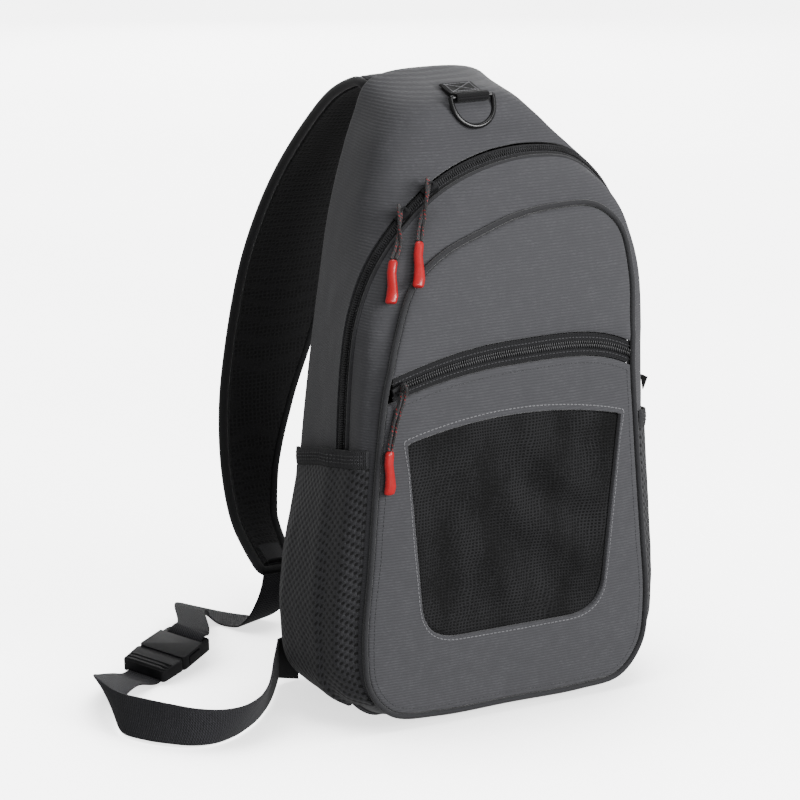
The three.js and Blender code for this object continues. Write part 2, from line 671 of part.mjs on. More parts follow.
function lowerPanel() {
  const edge = raysTo(windowCentre, windowAngles, panelBelow);
  const shares = [0, 0.4, 1];
  const rows = shares.map((share) => edge.map((p, i) => onFront(
    { x: p.x + (windowEdge[i].x - p.x) * share, z: p.z + (windowEdge[i].z - p.z) * share },
    panelPuff * Math.sqrt(share),
  )));
  return sheetSolid(rows, rows.map((ring) => shiftRing(ring, clothWall)), true);
}

function meshWindow() {
  const behind = clothWall + seamGap;
  const hem = 1 + meshHem / windowBottomHalf;
  const rings = [{ share: hem, puff: 0.72 }, { share: 0.97, puff: 1 }, { share: 0.6, puff: 1 }];
  const rows = rings.map((ring) => windowEdge.map((p) => onFront(
    towards(p, windowCentre, ring.share),
    panelPuff * ring.puff - behind,
  )));
  const sheet = [...rows, [onFront(windowCentre, panelPuff - behind)]];
  return sheetSolid(sheet, sheet.map((ring) => shiftRing(ring, meshWall)), true);
}

// Zips

const zipProfile = [
  { across: 0, lift: 0 }, { across: 0.34, lift: 0 }, { across: 0.42, lift: 1 }, { across: 0.58, lift: 1 },
  { across: 0.66, lift: 0 }, { across: 1, lift: 0 },
];
const mainZipFirst = 11;
const mainZipLast = 37;

function bandFrame(a, b, i, across) {
  const count = a.length;
  const tangent = mixRings([a[(i + 1) % count]], [b[(i + 1) % count]], across)[0]
    .sub(mixRings([a[(i + count - 1) % count]], [b[(i + count - 1) % count]], across)[0]).normalize();
  const side = b[i].clone().sub(a[i]).normalize();
  const normal = tangent.clone().cross(side).normalize();
  return { place: a[i].clone().lerp(b[i], across), tangent, side, normal };
}

const zipFrontEdge = moveTowards(outer, mouth, outerPipingRadius + 2 * seamGap);
const zipBackEdge = moveTowards(mouth, outer, seamGap + 1.5 * zipTapeThickness);

function mainZip() {
  const steps = Array.from({ length: mainZipLast - mainZipFirst + 1 }, (_, k) => mainZipFirst + k);
  const frontGrid = zipProfile.map((row) => steps.map((i) => {
    const frame = bandFrame(zipFrontEdge, zipBackEdge, i, row.across);
    return frame.place.addScaledVector(frame.normal, row.lift * coilHeight);
  }));
  const backGrid = zipProfile.map((row) => steps.map((i) => {
    const frame = bandFrame(zipFrontEdge, zipBackEdge, i, row.across);
    return frame.place.addScaledVector(frame.normal, -zipTapeThickness);
  }));
  return sheetSolid(frontGrid, backGrid);
}

function pocketZip() {
  const count = 18;
  const half = pocketZipWidth / 2 - seamGap;
  const inside = (x) => [-half, half].every((rise) => insidePolygon(panelEdge, x, zipLevel(x) + rise));
  const ends = [-1, 1].map((side) => {
    let near = 0;
    let far = bodyHalf;
    for (let step = 0; step < 40; step += 1) {
      const middle = (near + far) / 2;
      if (inside(side * middle)) near = middle;
      else far = middle;
    }
    return side * (near - seamGap);
  });
  const xs = Array.from({ length: count }, (_, i) => THREE.MathUtils.lerp(ends[0], ends[1], i / (count - 1)));
  const grid = (lift) => zipProfile.map((row) => xs.map((x) => onFront(
    { x, z: zipLevel(x) + half - 2 * half * row.across },
    lift(row),
  )));
  return sheetSolid(
    grid((row) => row.lift * coilHeight - 0.5),
    grid(() => -0.5 - zipTapeThickness),
  );
}

// Side pockets. side is -1 for the left and 1 for the right.

// The pocket follows the station rows and the rings of the side that it is sewn to
const pocketDepths = [pocketFrontShare, 0.12, 0.25, 0.36, 0.5, 0.65, 0.8, 0.88, pocketBackShare];
const pocketRows = [2.5, 3, 3.5, 4, 4.5, 5, 5.5];

function pocketPoint(side, depthShare, row, lift) {
  const share = (depthShare - pocketFrontShare) / (pocketBackShare - pocketFrontShare);
  const top = lookUp(hemRows, 'row', share);
  const station = row === undefined ? top : row;
  const up = (station - pocketRows[0]) / (top - pocketRows[0]);
  const place = skinPoint(side < 0 ? station : rowCount - station, depthShare);
  const bulge = pocketBulge * lookUp(bulgeUp, 'share', up) * lookUp(bulgeAlong, 'share', share);
  const overPiping = (outerPipingRadius + seamGap) * Math.min(1, 8 * share * (1 - share));
  place.x += side * (pocketSeamLift + overPiping + bulge + lift);
  return place;
}

function sidePocket(side) {
  const grid = (lift) => [...pocketRows, undefined]
    .map((row) => pocketDepths.map((depthShare) => pocketPoint(side, depthShare, row, lift)));
  return sheetSolid(grid(pocketWall), grid(0));
}

function pocketElastic(side) {
  const grid = (lift) => [0, 1].map((edge) => pocketDepths.map((depthShare) => {
    const low = pocketPoint(side, depthShare, undefined, lift);
    return low.setZ(low.z + seamGap + edge * elasticHeight);
  }));
  return sheetSolid(grid(elasticThickness), grid(0));
}

// D-ring and its tab, on the top panel above the zip's highest stretch. In the tab's own frame x is across it,
// y down the panel towards the front and z off the panel.

const tabRow = 13;
const tabLength = 24;            // from its upper end to the bar's axis
const tabLift = 0.6;
const tabFrame = (() => {
  const high = ringPoint(backEdge, tabRow);
  const low = ringPoint(shoulder, tabRow);
  const along = low.clone().sub(high).setX(0).normalize();
  const across = point(-1, 0, 0);
  const normal = across.clone().cross(along).normalize();
  const start = low.clone().addScaledVector(along, -tabLength);
  return new THREE.Matrix4().makeBasis(across, along, normal).setPosition(start);
})();
const sleeveRadius = barRadius + runningGap + tabThickness;
const barLift = sleeveRadius + tabLift;

function dRingTab() {
  const sleeve = new THREE.Shape().absarc(0, 0, sleeveRadius, 0, 2 * Math.PI);
  sleeve.holes.push(new THREE.Path().absarc(0, 0, barRadius + runningGap, 0, 2 * Math.PI, true));
  const roll = new THREE.ExtrudeGeometry(sleeve, { depth: tabWidth, bevelEnabled: false, curveSegments: 10 });
  roll.translate(0, 0, -tabWidth / 2).rotateY(Math.PI / 2).translate(0, tabLength, barLift);
  const flat = box(tabWidth, tabLength, tabThickness, 0, tabLength / 2 - 0.5, tabLift + tabThickness / 2);
  const room = toSolid(roundBar(sleeveRadius - 0.5, tabWidth + 2));
  const solid = toSolid(roll).add(toSolid(flat).subtract(room));
  return fromSolid(solid).applyMatrix4(tabFrame);
}

function roundBar(radius, length) {
  const upright = new THREE.CylinderGeometry(radius, radius, length, 12);
  return upright.rotateZ(Math.PI / 2).translate(0, tabLength, barLift);
}

// The ring hangs from its bar over the edge of the top panel
function dRing() {
  const half = (ringWidth - ringWire) / 2;
  const drop = ringDrop - ringWire / 2;
  const hang = THREE.MathUtils.degToRad(ringHang);
  const bow = 14;
  const points = Array.from({ length: bow + 1 }, (_, i) => {
    const angle = (Math.PI * i) / bow;
    const reach = drop * Math.sin(angle) ** 0.8;
    const along = tabLength + reach * Math.cos(hang);
    return point(half * Math.cos(angle), along, barLift - reach * Math.sin(hang));
  });
  const face = point(0, Math.sin(hang), Math.cos(hang));
  const bowSolid = toSolid(tubeSolid(points, ringWire / 2, 8, false, face));
  return fromSolid(bowSolid.add(toSolid(roundBar(barRadius, 2 * half)))).applyMatrix4(tabFrame);
}

// Shoulder strap

const strapSteps = 26;
const strapCurve = smoothCurve(strapRows.map((row) => point(
  row.left * bodyHalf,
  row.back * strapReach,
  row.up * strapTop,
)), false);

function strapRow(t) {
  const place = t * (strapRows.length - 1);
  const k = Math.min(strapRows.length - 2, Math.floor(place));
  const mix = (column) => THREE.MathUtils.lerp(strapRows[k][column], strapRows[k + 1][column], place - k);
  const tangent = strapCurve.getTangent(t);
  const roll = THREE.MathUtils.degToRad(mix('roll'));
  const level = point(1, 0, 0).addScaledVector(tangent, -tangent.x).normalize();
  const out = level.clone().cross(tangent).normalize();
  const side = level.clone().multiplyScalar(Math.cos(roll)).addScaledVector(out, -Math.sin(roll));
  const normal = side.clone().cross(tangent).normalize().negate();
  return { edge: strapCurve.getPoint(t), tangent, side, normal, half: mix('half') * strapHalf };
}

// across runs from 0 at the left edge to 1 at the right edge, lift is toward the wearer
function strapPoint(t, across, lift, margin) {
  const row = strapRow(t);
  const width = 2 * row.half - 2 * margin;
  return row.edge.clone()
    .addScaledVector(row.side, margin + width * across)
    .addScaledVector(row.normal, lift);
}

const strapTimes = Array.from({ length: strapSteps }, (_, i) => i / (strapSteps - 1));
const strapMargin = 2 * bindingRadius + seamGap;

const strapShares = [0, 0.12, 0.35, 0.65, 0.88, 1];
const strapCrown = 1.5;          // the middle of the strap stands proud by this

function strapLayer(lowLift, highLift) {
  const grid = (lift) => strapTimes.map((t) => strapShares.map((across) => strapPoint(
    t,
    across,
    strapCrown * Math.sin(Math.PI * across) + lift(across),
    strapMargin,
  )));
  return sheetSolid(grid(highLift), grid(lowLift));
}

// A thin spacer mesh lines the side that lies on the wearer
function strapLining() {
  return strapLayer(() => seamGap, () => seamGap + strapCoverThickness);
}

// The padded body is foam in the bag's own cloth
function strapBody() {
  const thickness = (across) => strapPadThickness * (0.45 + 0.55 * Math.sin(Math.PI * across) ** 0.5);
  return strapLayer((across) => -thickness(across), () => 0);
}

function strapBinding() {
  const lift = -strapPadThickness * 0.2;
  const left = strapTimes.map((t) => strapPoint(t, 0, lift, bindingRadius));
  const right = strapTimes.map((t) => strapPoint(t, 1, lift, bindingRadius)).reverse();
  const end = strapRow(1);
  const turn = [0.06, 0.35, 0.65, 0.94].map((across) => strapPoint(1, across, lift, bindingRadius)
    .addScaledVector(end.tangent, bindingRadius + seamGap + 0.8));
  return tubeSolid([...left, ...turn, ...right], bindingRadius, 6, false, point(0.05, -0.35, 0.12));
}

// A patch over the strap's lower end, on the same stations as the strap's cover
function strapEndPatch() {
  const times = strapTimes.slice(-1 - Math.round((patchLength * (strapSteps - 1)) / strapCurve.getLength()));
  const shares = strapShares.slice(1, -1);
  const grid = (lift) => times.map((t) => shares.map((across) => strapPoint(
    t,
    across,
    strapCrown * Math.sin(Math.PI * across) + 2 * seamGap + strapCoverThickness + lift,
    strapMargin,
  )));
  return sheetSolid(grid(patchThickness), grid(0));
}

// Webbing

function webbingPlace(row) {
  return point(-row.left * webbingReach, row.back * webbingBack, row.up * webbingRise);
}

// A band through places, each with the direction of its width
function band(places, widths, steps) {
  const middle = smoothCurve(places, false);
  const width = smoothCurve(widths, false);
  const grids = [-1, 1].map((side) => Array.from({ length: steps + 1 }, (_, i) => {
    const t = i / steps;
    const across = width.getPoint(t).normalize();
    const normal = across.clone().cross(middle.getTangent(t)).normalize();
    const centre = middle.getPoint(t).addScaledVector(normal, (side * webbingThickness) / 2);
    return [-0.5, 0.5].map((share) => centre.clone().addScaledVector(across, share * webbingWidth));
  }));
  return sheetSolid(grids[1], grids[0]);
}

function webbingWidthAt(row) {
  const turn = THREE.MathUtils.degToRad(row.turn);
  const stand = THREE.MathUtils.degToRad(row.stand);
  return point(Math.cos(turn) * Math.cos(stand), Math.sin(turn) * Math.cos(stand), Math.sin(stand));
}

// In the buckle's own frame x runs from the male half to the female half, y across it and z off its top
const buckleFrame = new THREE.Matrix4().makeRotationFromEuler(new THREE.Euler(
  THREE.MathUtils.degToRad(buckleRoll),
  -THREE.MathUtils.degToRad(buckleTilt),
  THREE.MathUtils.degToRad(buckleTurn),
  'ZYX',
)).setPosition(webbingPlace(bucklePlace));
const maleEnd = -(maleLength + femaleLength) / 2;
const femaleEnd = -maleEnd;
const seam = maleEnd + maleLength;

function onBuckle(x, z) {
  return point(x, 0, z).applyMatrix4(buckleFrame);
}

// The webbing goes over the last bar of a half and down into its slot
const overBar = buckleThickness / 2 - buckleWall + webbingThickness;
const intoSlot = barLength + slotLength / 2;

function webbingUpper() {
  const across = point(0, 1, 0).transformDirection(buckleFrame);
  const loop = [
    onBuckle(femaleEnd + 4, overBar - 0.5), onBuckle(femaleEnd - 1, overBar),
    onBuckle(femaleEnd - intoSlot + 0.8, overBar - 1.2), onBuckle(femaleEnd - intoSlot, -2),
  ];
  const places = [...upperWebbing.map(webbingPlace), ...loop];
  return band(places, [...upperWebbing.map(webbingWidthAt), ...loop.map(() => across)], 26);
}

function webbingLower() {
  const across = point(0, 1, 0).transformDirection(buckleFrame);
  const under = -buckleThickness / 2 + buckleWall / 2;
  const loop = [
    onBuckle(maleEnd + intoSlot + 0.1, 2), onBuckle(maleEnd + intoSlot - 0.6, under + 2),
    onBuckle(maleEnd + 1.5, under), onBuckle(maleEnd - 5, under + 0.4),
  ];
  const places = [...loop, ...lowerWebbing.map(webbingPlace)];
  return band(places, [...loop.map(() => across), ...lowerWebbing.map(webbingWidthAt)], 34);
}

// The anchor is sewn into the seam between the side and the back, and its narrow end meets the webbing
function anchorTab() {
  const end = webbingPlace(lowerWebbing[lowerWebbing.length - 1]);
  const before = webbingPlace(lowerWebbing[lowerWebbing.length - 2]);
  const onward = end.clone().sub(before).normalize();
  const start = end.clone().addScaledVector(onward, seamGap + anchorThickness / 2);
  const edge = ringPoint(backEdge, 4);
  const sewn = point(
    edge.x + anchorThickness / 2 - 2 * seamGap,
    edge.y + anchorThickness,
    anchorSpread / 2 + 4 * seamGap,
  );
  const normal = sewn.clone().sub(start).cross(point(0, 0, 1)).normalize();
  const rows = [{ place: start, half: webbingWidth / 2 }, { place: sewn, half: anchorSpread / 2 }];
  const grid = (side) => rows.map((row) => [-1, 1].map((up) => row.place.clone()
    .addScaledVector(normal, (side * anchorThickness) / 2)
    .add(point(0, 0, up * row.half))));
  return sheetSolid(grid(1), grid(-1));
}

// Buckle

// A plate with rounded corners between two levels, wide at x0 and narrower at x1
function plate(x0, x1, half0, half1, low, high, corner) {
  const shape = new THREE.Shape();
  shape.moveTo(x0 + corner, -half0);
  shape.lineTo(x1 - corner, -half1);
  shape.quadraticCurveTo(x1, -half1, x1, -half1 + corner);
  shape.lineTo(x1, half1 - corner);
  shape.quadraticCurveTo(x1, half1, x1 - corner, half1);
  shape.lineTo(x0 + corner, half0);
  shape.quadraticCurveTo(x0, half0, x0, half0 - corner);
  shape.lineTo(x0, -half0 + corner);
  shape.quadraticCurveTo(x0, -half0, x0 + corner, -half0);
  const settings = { depth: high - low, bevelEnabled: false, curveSegments: 3 };
  const extruded = new THREE.ExtrudeGeometry(shape, settings);
  return toSolid(extruded.translate(0, 0, low));
}

const buckleHalf = buckleWidth / 2;
const prongWidth = 6;
const prongThickness = buckleThickness - 2 * buckleWall - 2 * buckleGap;
const windowStart = seam + 0.2 * femaleLength;
const windowEnd = seam + 0.58 * femaleLength;
const slotHalf = webbingWidth / 2 + buckleGap;

function buckleFemale() {
  const half = buckleThickness / 2;
  const end = femaleEnd;
  const hull = plate(seam + buckleGap, end, buckleHalf, buckleHalf - 1.5, -half, half, 3);
  const lowBar = plate(
    end - intoSlot - slotLength,
    end + 1,
    buckleHalf + 1,
    buckleHalf + 1,
    overBar - 1.2 * webbingThickness,
    half + 1,
    1,
  );
  const hollow = box(
    2 * prongReach + 2 * buckleGap,
    buckleWidth - 2 * buckleWall,
    buckleThickness - 2 * buckleWall,
    seam + buckleGap,
    0,
    0,
  );
  const windowMiddle = (windowStart + windowEnd) / 2;
  const windowHigh = 0.62 * buckleThickness;
  const sideWindow = box(windowEnd - windowStart, buckleWidth + 2, windowHigh, windowMiddle, 0, 0);
  const slot = box(slotLength, 2 * slotHalf, 2 * buckleThickness, end - intoSlot, 0, 0);
  const solid = [lowBar, toSolid(hollow), toSolid(sideWindow), toSolid(slot)]
    .reduce((rest, cut) => rest.subtract(cut), hull);
  return fromSolid(solid).applyMatrix4(buckleFrame);
}

function buckleMale() {
  const half = buckleThickness / 2 - buckleWall / 2;
  const body = plate(maleEnd, seam, buckleHalf - 1.5, buckleHalf, -half, half, 3);
  const slotPlace = maleEnd + intoSlot;
  const slot = toSolid(box(slotLength, 2 * slotHalf, 2 * buckleThickness, slotPlace, 0, 0));
  const barRoom = 2 * webbingThickness + buckleGap;
  const underBar = toSolid(box(2 * intoSlot, 2 * slotHalf, barRoom, maleEnd, 0, -half));
  const arms = [-1, 1].map((side) => toSolid(box(
    prongReach,
    prongWidth,
    prongThickness,
    seam + prongReach / 2 - 0.5,
    side * (buckleHalf - buckleWall - buckleGap - prongWidth / 2),
    0,
  )));
  const heads = [-1, 1].map((side) => toSolid(box(
    windowEnd - windowStart - 2 * buckleGap,
    buckleWall + buckleGap + 0.5,
    prongThickness * 0.8,
    (windowStart + windowEnd) / 2,
    side * (buckleHalf - (buckleWall + buckleGap) / 2),
    0,
  )));
  const guideLength = prongReach * 0.8;
  const guide = toSolid(box(guideLength, prongWidth, prongThickness, seam + guideLength / 2 - 0.5, 0, 0));
  const solid = [...arms, ...heads, guide].reduce((sum, piece) => sum.add(piece), body)
    .subtract(slot).subtract(underBar);
  return fromSolid(solid).applyMatrix4(buckleFrame);
}

// Sliders and pulls

// In a slider's own frame x is across the zip, y along it and z off it, from the top of the coil
function mainZipFrame(row) {
  const place = row * (ringSteps / rowCount);
  const low = Math.floor(place) / (ringSteps / rowCount);
  const high = Math.ceil(place) / (ringSteps / rowCount);
  const middle = (at) => ringPoint(zipFrontEdge, at).lerp(ringPoint(zipBackEdge, at), 0.5);
  const tangent = middle(high).sub(middle(low)).normalize();
  const side = ringPoint(zipBackEdge, row).sub(ringPoint(zipFrontEdge, row)).normalize();
  const normal = tangent.clone().cross(side).normalize();
  const across = tangent.clone().cross(normal).normalize();
  const start = middle(row).addScaledVector(normal, coilHeight);
  return new THREE.Matrix4().makeBasis(across, tangent, normal).setPosition(start);
}

function pocketZipFrame(share) {
  const x = share * bodyHalf * pocketZipSpan;
  const slope = (zipLevel(x + 1) - zipLevel(x - 1)) / 2;
  const tangent = point(1, 0, slope).normalize();
  const normal = point(0, -1, 0);
  const across = tangent.clone().cross(normal).normalize();
  const start = onFront({ x, z: zipLevel(x) }, coilHeight - 0.5);
  return new THREE.Matrix4().makeBasis(across, tangent, normal).setPosition(start);
}

function slider(frame) {
  const half = sliderWidth / 2;
  const shape = new THREE.Shape();
  shape.moveTo(-half, sliderLength / 2 - 2);
  shape.lineTo(-half * 0.62, -sliderLength / 2);
  shape.lineTo(half * 0.62, -sliderLength / 2);
  shape.lineTo(half, sliderLength / 2 - 2);
  shape.lineTo(half * 0.6, sliderLength / 2);
  shape.lineTo(-half * 0.6, sliderLength / 2);
  const body = new THREE.ExtrudeGeometry(shape, { depth: sliderThickness, bevelEnabled: false });
  const lift = 1.5 * seamGap;
  const foot = lift + sliderThickness - 0.5;
  const crest = lift + sliderThickness + bridgeClear + bridgeWire / 2;
  const reach = bridgeSpan / 2 + bridgeWire / 2;
  const arch = [
    point(0, -reach, foot), point(0, -reach, crest - 1.2), point(0, -reach + 1.2, crest),
    point(0, reach - 1.2, crest), point(0, reach, crest - 1.2), point(0, reach, foot),
  ];
  const bridge = tubeSolid(arch, bridgeWire / 2, 6, false, point(1, 0, 0));
  return fromSolid(toSolid(body.translate(0, 0, lift)).add(toSolid(bridge))).applyMatrix4(frame);
}

function fromList(list) {
  return point(list[0], list[1], list[2]);
}

function pullCord(pull) {
  const section = new THREE.Shape(Array.from({ length: 8 }, (_, i) => new THREE.Vector2(
    (cordDiameter / 2) * Math.cos((Math.PI * i) / 4),
    (cordDiameter / 2) * Math.sin((Math.PI * i) / 4),
  )));
  const path = smoothCurve(pull.cord.map(fromList), false);
  const extruded = new THREE.ExtrudeGeometry(section, { steps: 26, extrudePath: path });
  return fromSolid(toSolid(extruded));
}

function pullGrip(pull) {
  const top = fromList(pull.top);
  const along = fromList(pull.end).sub(top);
  const length = along.length();
  along.normalize();
  const side = along.clone().cross(fromList(pull.face)).normalize();
  const face = side.clone().cross(along).normalize();
  const corners = 10;
  const rings = gripRows.map((row) => Array.from({ length: corners }, (_, i) => {
    const angle = (2 * Math.PI * i) / corners;
    const across = gripWidth * (0.5 * row.half * Math.cos(angle) + row.sway);
    const out = 0.5 * gripThickness * row.thick * Math.sin(angle);
    return top.clone().addScaledVector(along, row.at * length)
      .addScaledVector(side, across).addScaledVector(face, out);
  }));
  return ringSolid(rings);
}

// The small tab in the right side seam stands off the side band
function sideTabRight() {
  const row = rowCount - 6.55;
  const near = skinPoint(row, 0.12);
  const x = near.x + gussetPuff / 2;
  const half = sideTab.width / 2;
  const outline = new THREE.Shape([
    new THREE.Vector2(-half, 0), new THREE.Vector2(half, 0), new THREE.Vector2(half * 0.3, -sideTab.drop),
  ]);
  const extruded = new THREE.ExtrudeGeometry(outline, { depth: sideTab.thickness, bevelEnabled: false });
  return extruded.rotateX(Math.PI / 2).rotateZ(Math.PI / 2).translate(x, near.y, near.z);
}

function mesh(name, geometry, look) {
  const material = new THREE.MeshStandardMaterial(looks[look]);
  const piece = new THREE.Mesh(geometry, material);
  piece.name = name;
  return piece;
}

const bag = new THREE.Group();
bag.add(
  mesh('main_shell', mainShell(), 'grey_fabric'),
  mesh('back_pad', backPad(), 'black_mesh'),
  mesh('front_gusset', frontGusset(), 'dark_fabric'),
  mesh('front_upper_panel', upperPanel(), 'grey_fabric'),
  mesh('front_lower_panel', lowerPanel(), 'grey_fabric'),
  mesh('mesh_window', meshWindow(), 'black_mesh'),
  mesh('front_piping', piping(front, frontPipingRadius), 'black_piping'),
  mesh('outer_piping', piping(outer, outerPipingRadius), 'black_piping'),
  mesh('main_zip', mainZip(), 'zip_coil'),
  mesh('pocket_zip', pocketZip(), 'zip_coil'),
  mesh('side_pocket_left', sidePocket(-1), 'black_mesh'),
  mesh('side_pocket_right', sidePocket(1), 'black_mesh'),
  mesh('pocket_elastic_left', pocketElastic(-1), 'black_elastic'),
  mesh('pocket_elastic_right', pocketElastic(1), 'black_elastic'),
  mesh('d_ring_tab', dRingTab(), 'black_webbing'),
  mesh('d_ring', dRing(), 'black_metal'),
  mesh('shoulder_strap', strapBody(), 'grey_fabric'),
  mesh('strap_lining', strapLining(), 'black_mesh'),
  mesh('strap_binding', strapBinding(), 'black_webbing'),
  mesh('strap_end_patch', strapEndPatch(), 'black_webbing'),
  mesh('webbing_upper', webbingUpper(), 'black_webbing'),
  mesh('buckle_female', buckleFemale(), 'black_plastic'),
  mesh('buckle_male', buckleMale(), 'black_plastic'),
  mesh('webbing_lower', webbingLower(), 'black_webbing'),
  mesh('anchor_tab', anchorTab(), 'black_webbing'),
  mesh('side_tab_right', sideTabRight(), 'black_webbing'),
  mesh('slider_main_upper', slider(mainZipFrame(mainUpperRow)), 'black_metal'),
  mesh('slider_main_lower', slider(mainZipFrame(mainLowerRow)), 'black_metal'),
  mesh('slider_pocket', slider(pocketZipFrame(pocketSliderShare)), 'black_metal'),
);
for (const [name, pull] of Object.entries(pulls)) {
  bag.add(mesh(`pull_cord_${name}`, pullCord(pull), 'cord'));
  bag.add(mesh(`pull_grip_${name}`, pullGrip(pull), 'red_grip'));
}

export default bag;
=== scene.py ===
# Looks of the fishing tackle sling bag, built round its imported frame.
# Sizes below are in millimetres in the frame's own axes and become metres when a piece is made.

import math

import bmesh
import bpy
import numpy as np
from mathutils import Euler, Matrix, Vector, noise
from mathutils.bvhtree import BVHTree


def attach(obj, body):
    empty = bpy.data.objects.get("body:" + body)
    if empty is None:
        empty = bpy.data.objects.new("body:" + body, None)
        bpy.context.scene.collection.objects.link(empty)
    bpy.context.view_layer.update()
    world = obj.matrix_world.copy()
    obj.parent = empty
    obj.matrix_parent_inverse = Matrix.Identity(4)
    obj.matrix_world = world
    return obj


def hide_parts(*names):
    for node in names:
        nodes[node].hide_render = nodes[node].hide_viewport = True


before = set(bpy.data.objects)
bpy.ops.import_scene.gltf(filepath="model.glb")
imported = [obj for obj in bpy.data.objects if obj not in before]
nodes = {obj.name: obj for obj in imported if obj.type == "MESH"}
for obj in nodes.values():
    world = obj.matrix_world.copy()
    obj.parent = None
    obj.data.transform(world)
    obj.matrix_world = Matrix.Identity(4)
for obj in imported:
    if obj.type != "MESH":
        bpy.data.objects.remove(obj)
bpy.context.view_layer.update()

MM = 0.001

# Driving sizes, the same as the part's own: first the body, its front panels and its pad
BODY_HALF = 120
BODY_HEIGHT = 454
FRONT_Y = -75
BACK_Y = 60
DEPTH = BACK_Y - FRONT_Y
CLOTH = 2.5
SEAM = 0.35
BACK_ROUND = 7
GUSSET_PUFF = 5
FRONT_LEAN = 0.25
PANEL_PUFF = 5
FRONT_PIPING = 2.1               # radii of the two pipings
OUTER_PIPING = 1.7
PAD_THICKNESS = 9
PAD_SHARE = 0.87
PAD_CENTRE = 205

# Zips and window
ZIP_LEVEL = 268
ZIP_WIDTH = 17
ZIP_END_DROP = 15
ZIP_TILT = 2
TAPE_THICKNESS = 1.2
WINDOW = {"top": 88, "bottom": 75, "low": 65, "side": 214, "crown": 11, "corner": 30}
WINDOW_CENTRE = (1, 142)
MESH_WALL = 1
MESH_HEM = 4

# Side pockets
POCKET_BULGE = 22
POCKET_WALL = 1.8
POCKET_LIFT = 0.7
ELASTIC_HEIGHT = 13
ELASTIC_THICKNESS = 2

# Shoulder strap
STRAP_HALF = 48
STRAP_REACH = 256
STRAP_TOP = 460
STRAP_PAD = 8
STRAP_CROWN = 1.5
COVER_THICKNESS = 2
BINDING_RADIUS = 3.6
PATCH_LENGTH = 42
PATCH_THICKNESS = 1.4

# Webbing, its buckle and its anchor
WEB_WIDTH = 30
WEB_THICKNESS = 1.6
WEB_REACH = 276
WEB_BACK = 216
WEB_RISE = 45
MALE_LENGTH = 23
FEMALE_LENGTH = 37
BUCKLE_THICKNESS = 11
BUCKLE_WALL = 1.8
SLOT_LENGTH = 4.6
BAR_LENGTH = 4
ANCHOR_THICKNESS = 2.4
ANCHOR_SPREAD = 38

# D-ring and its tab
TAB_WIDTH = 26
TAB_THICKNESS = 1.8
TAB_LENGTH = 24
TAB_LIFT = 0.6
RING_WIDTH = 38
RING_DROP = 24
RING_WIRE = 3.8
RING_HANG = 50                   # degrees below the tab's plane
BAR_RADIUS = 1.6
RUNNING_GAP = 0.4

# Pulls
CORD_DIAMETER = 2.3
GRIP_WIDTH = 8.5
GRIP_THICKNESS = 6

STATIONS = 24                    # rows of a loop
STEPS = 240                      # points of a fine ring
PER_STATION = STEPS // STATIONS

# Loops round the body: x as a share of BODY_HALF, z of BODY_HEIGHT and y of DEPTH
FRONT_LOOP = [
    (0, 0.018), (-0.5, 0.018), (-0.8, 0.03), (-0.95, 0.075), (-0.985, 0.15), (-0.945, 0.28), (-0.9, 0.43),
    (-0.835, 0.565), (-0.74, 0.64), (-0.6, 0.71), (-0.38, 0.752), (-0.12, 0.777), (0.14, 0.797),
    (0.42, 0.805), (0.68, 0.8), (0.835, 0.765), (0.88, 0.69), (0.84, 0.58), (0.875, 0.43), (0.93, 0.27),
    (0.965, 0.15), (0.93, 0.075), (0.78, 0.028), (0.5, 0.018),
]
OUTER_LOOP = [
    (0, 0.006, 0.25), (-0.5, 0.006, 0.25), (-0.8, 0.012, 0.25), (-0.97, 0.06, 0.25), (-1, 0.15, 0.25),
    (-0.98, 0.28, 0.25), (-0.955, 0.43, 0.25), (-0.925, 0.575, 0.25), (-0.88, 0.65, 0.255),
    (-0.765, 0.72, 0.27), (-0.58, 0.777, 0.3), (-0.3, 0.835, 0.31), (0.02, 0.867, 0.318),
    (0.36, 0.877, 0.32), (0.62, 0.864, 0.318), (0.83, 0.815, 0.305), (0.99, 0.72, 0.27),
    (1.05, 0.58, 0.25), (1.03, 0.43, 0.25), (1, 0.27, 0.25), (0.99, 0.15, 0.25), (0.96, 0.06, 0.25),
    (0.79, 0.012, 0.25), (0.5, 0.006, 0.25),
]
MOUTH_LOOP = [
    (0, 0, 0.272), (-0.5, 0, 0.272), (-0.8, 0.004, 0.272), (-0.97, 0.05, 0.272), (-1, 0.15, 0.275),
    (-0.985, 0.28, 0.31), (-0.965, 0.43, 0.36), (-0.935, 0.58, 0.36), (-0.885, 0.66, 0.36),
    (-0.77, 0.732, 0.37), (-0.56, 0.798, 0.385), (-0.26, 0.858, 0.395), (0.05, 0.888, 0.407),
    (0.37, 0.895, 0.41), (0.63, 0.882, 0.405), (0.85, 0.833, 0.39), (1.01, 0.73, 0.365),
    (1.055, 0.58, 0.355), (1.03, 0.43, 0.36), (1, 0.27, 0.31), (0.99, 0.15, 0.275), (0.96, 0.05, 0.272),
    (0.79, 0.004, 0.272), (0.5, 0, 0.272),
]
SHOULDER_LOOP = [
    (0, 0, 0.65), (-0.48, 0, 0.65), (-0.74, 0.003, 0.65), (-0.9, 0.045, 0.65), (-0.94, 0.15, 0.65),
    (-0.93, 0.28, 0.65), (-0.9, 0.43, 0.65), (-0.86, 0.58, 0.65), (-0.81, 0.67, 0.65), (-0.73, 0.76, 0.63),
    (-0.64, 0.84, 0.6), (-0.52, 0.905, 0.56), (-0.34, 0.945, 0.52), (0.03, 0.963, 0.5), (0.39, 0.955, 0.51),
    (0.6, 0.885, 0.55), (0.8, 0.76, 0.61), (0.86, 0.6, 0.65), (0.885, 0.43, 0.65), (0.91, 0.27, 0.65),
    (0.92, 0.15, 0.65), (0.88, 0.045, 0.65), (0.72, 0.003, 0.65), (0.47, 0, 0.65),
]
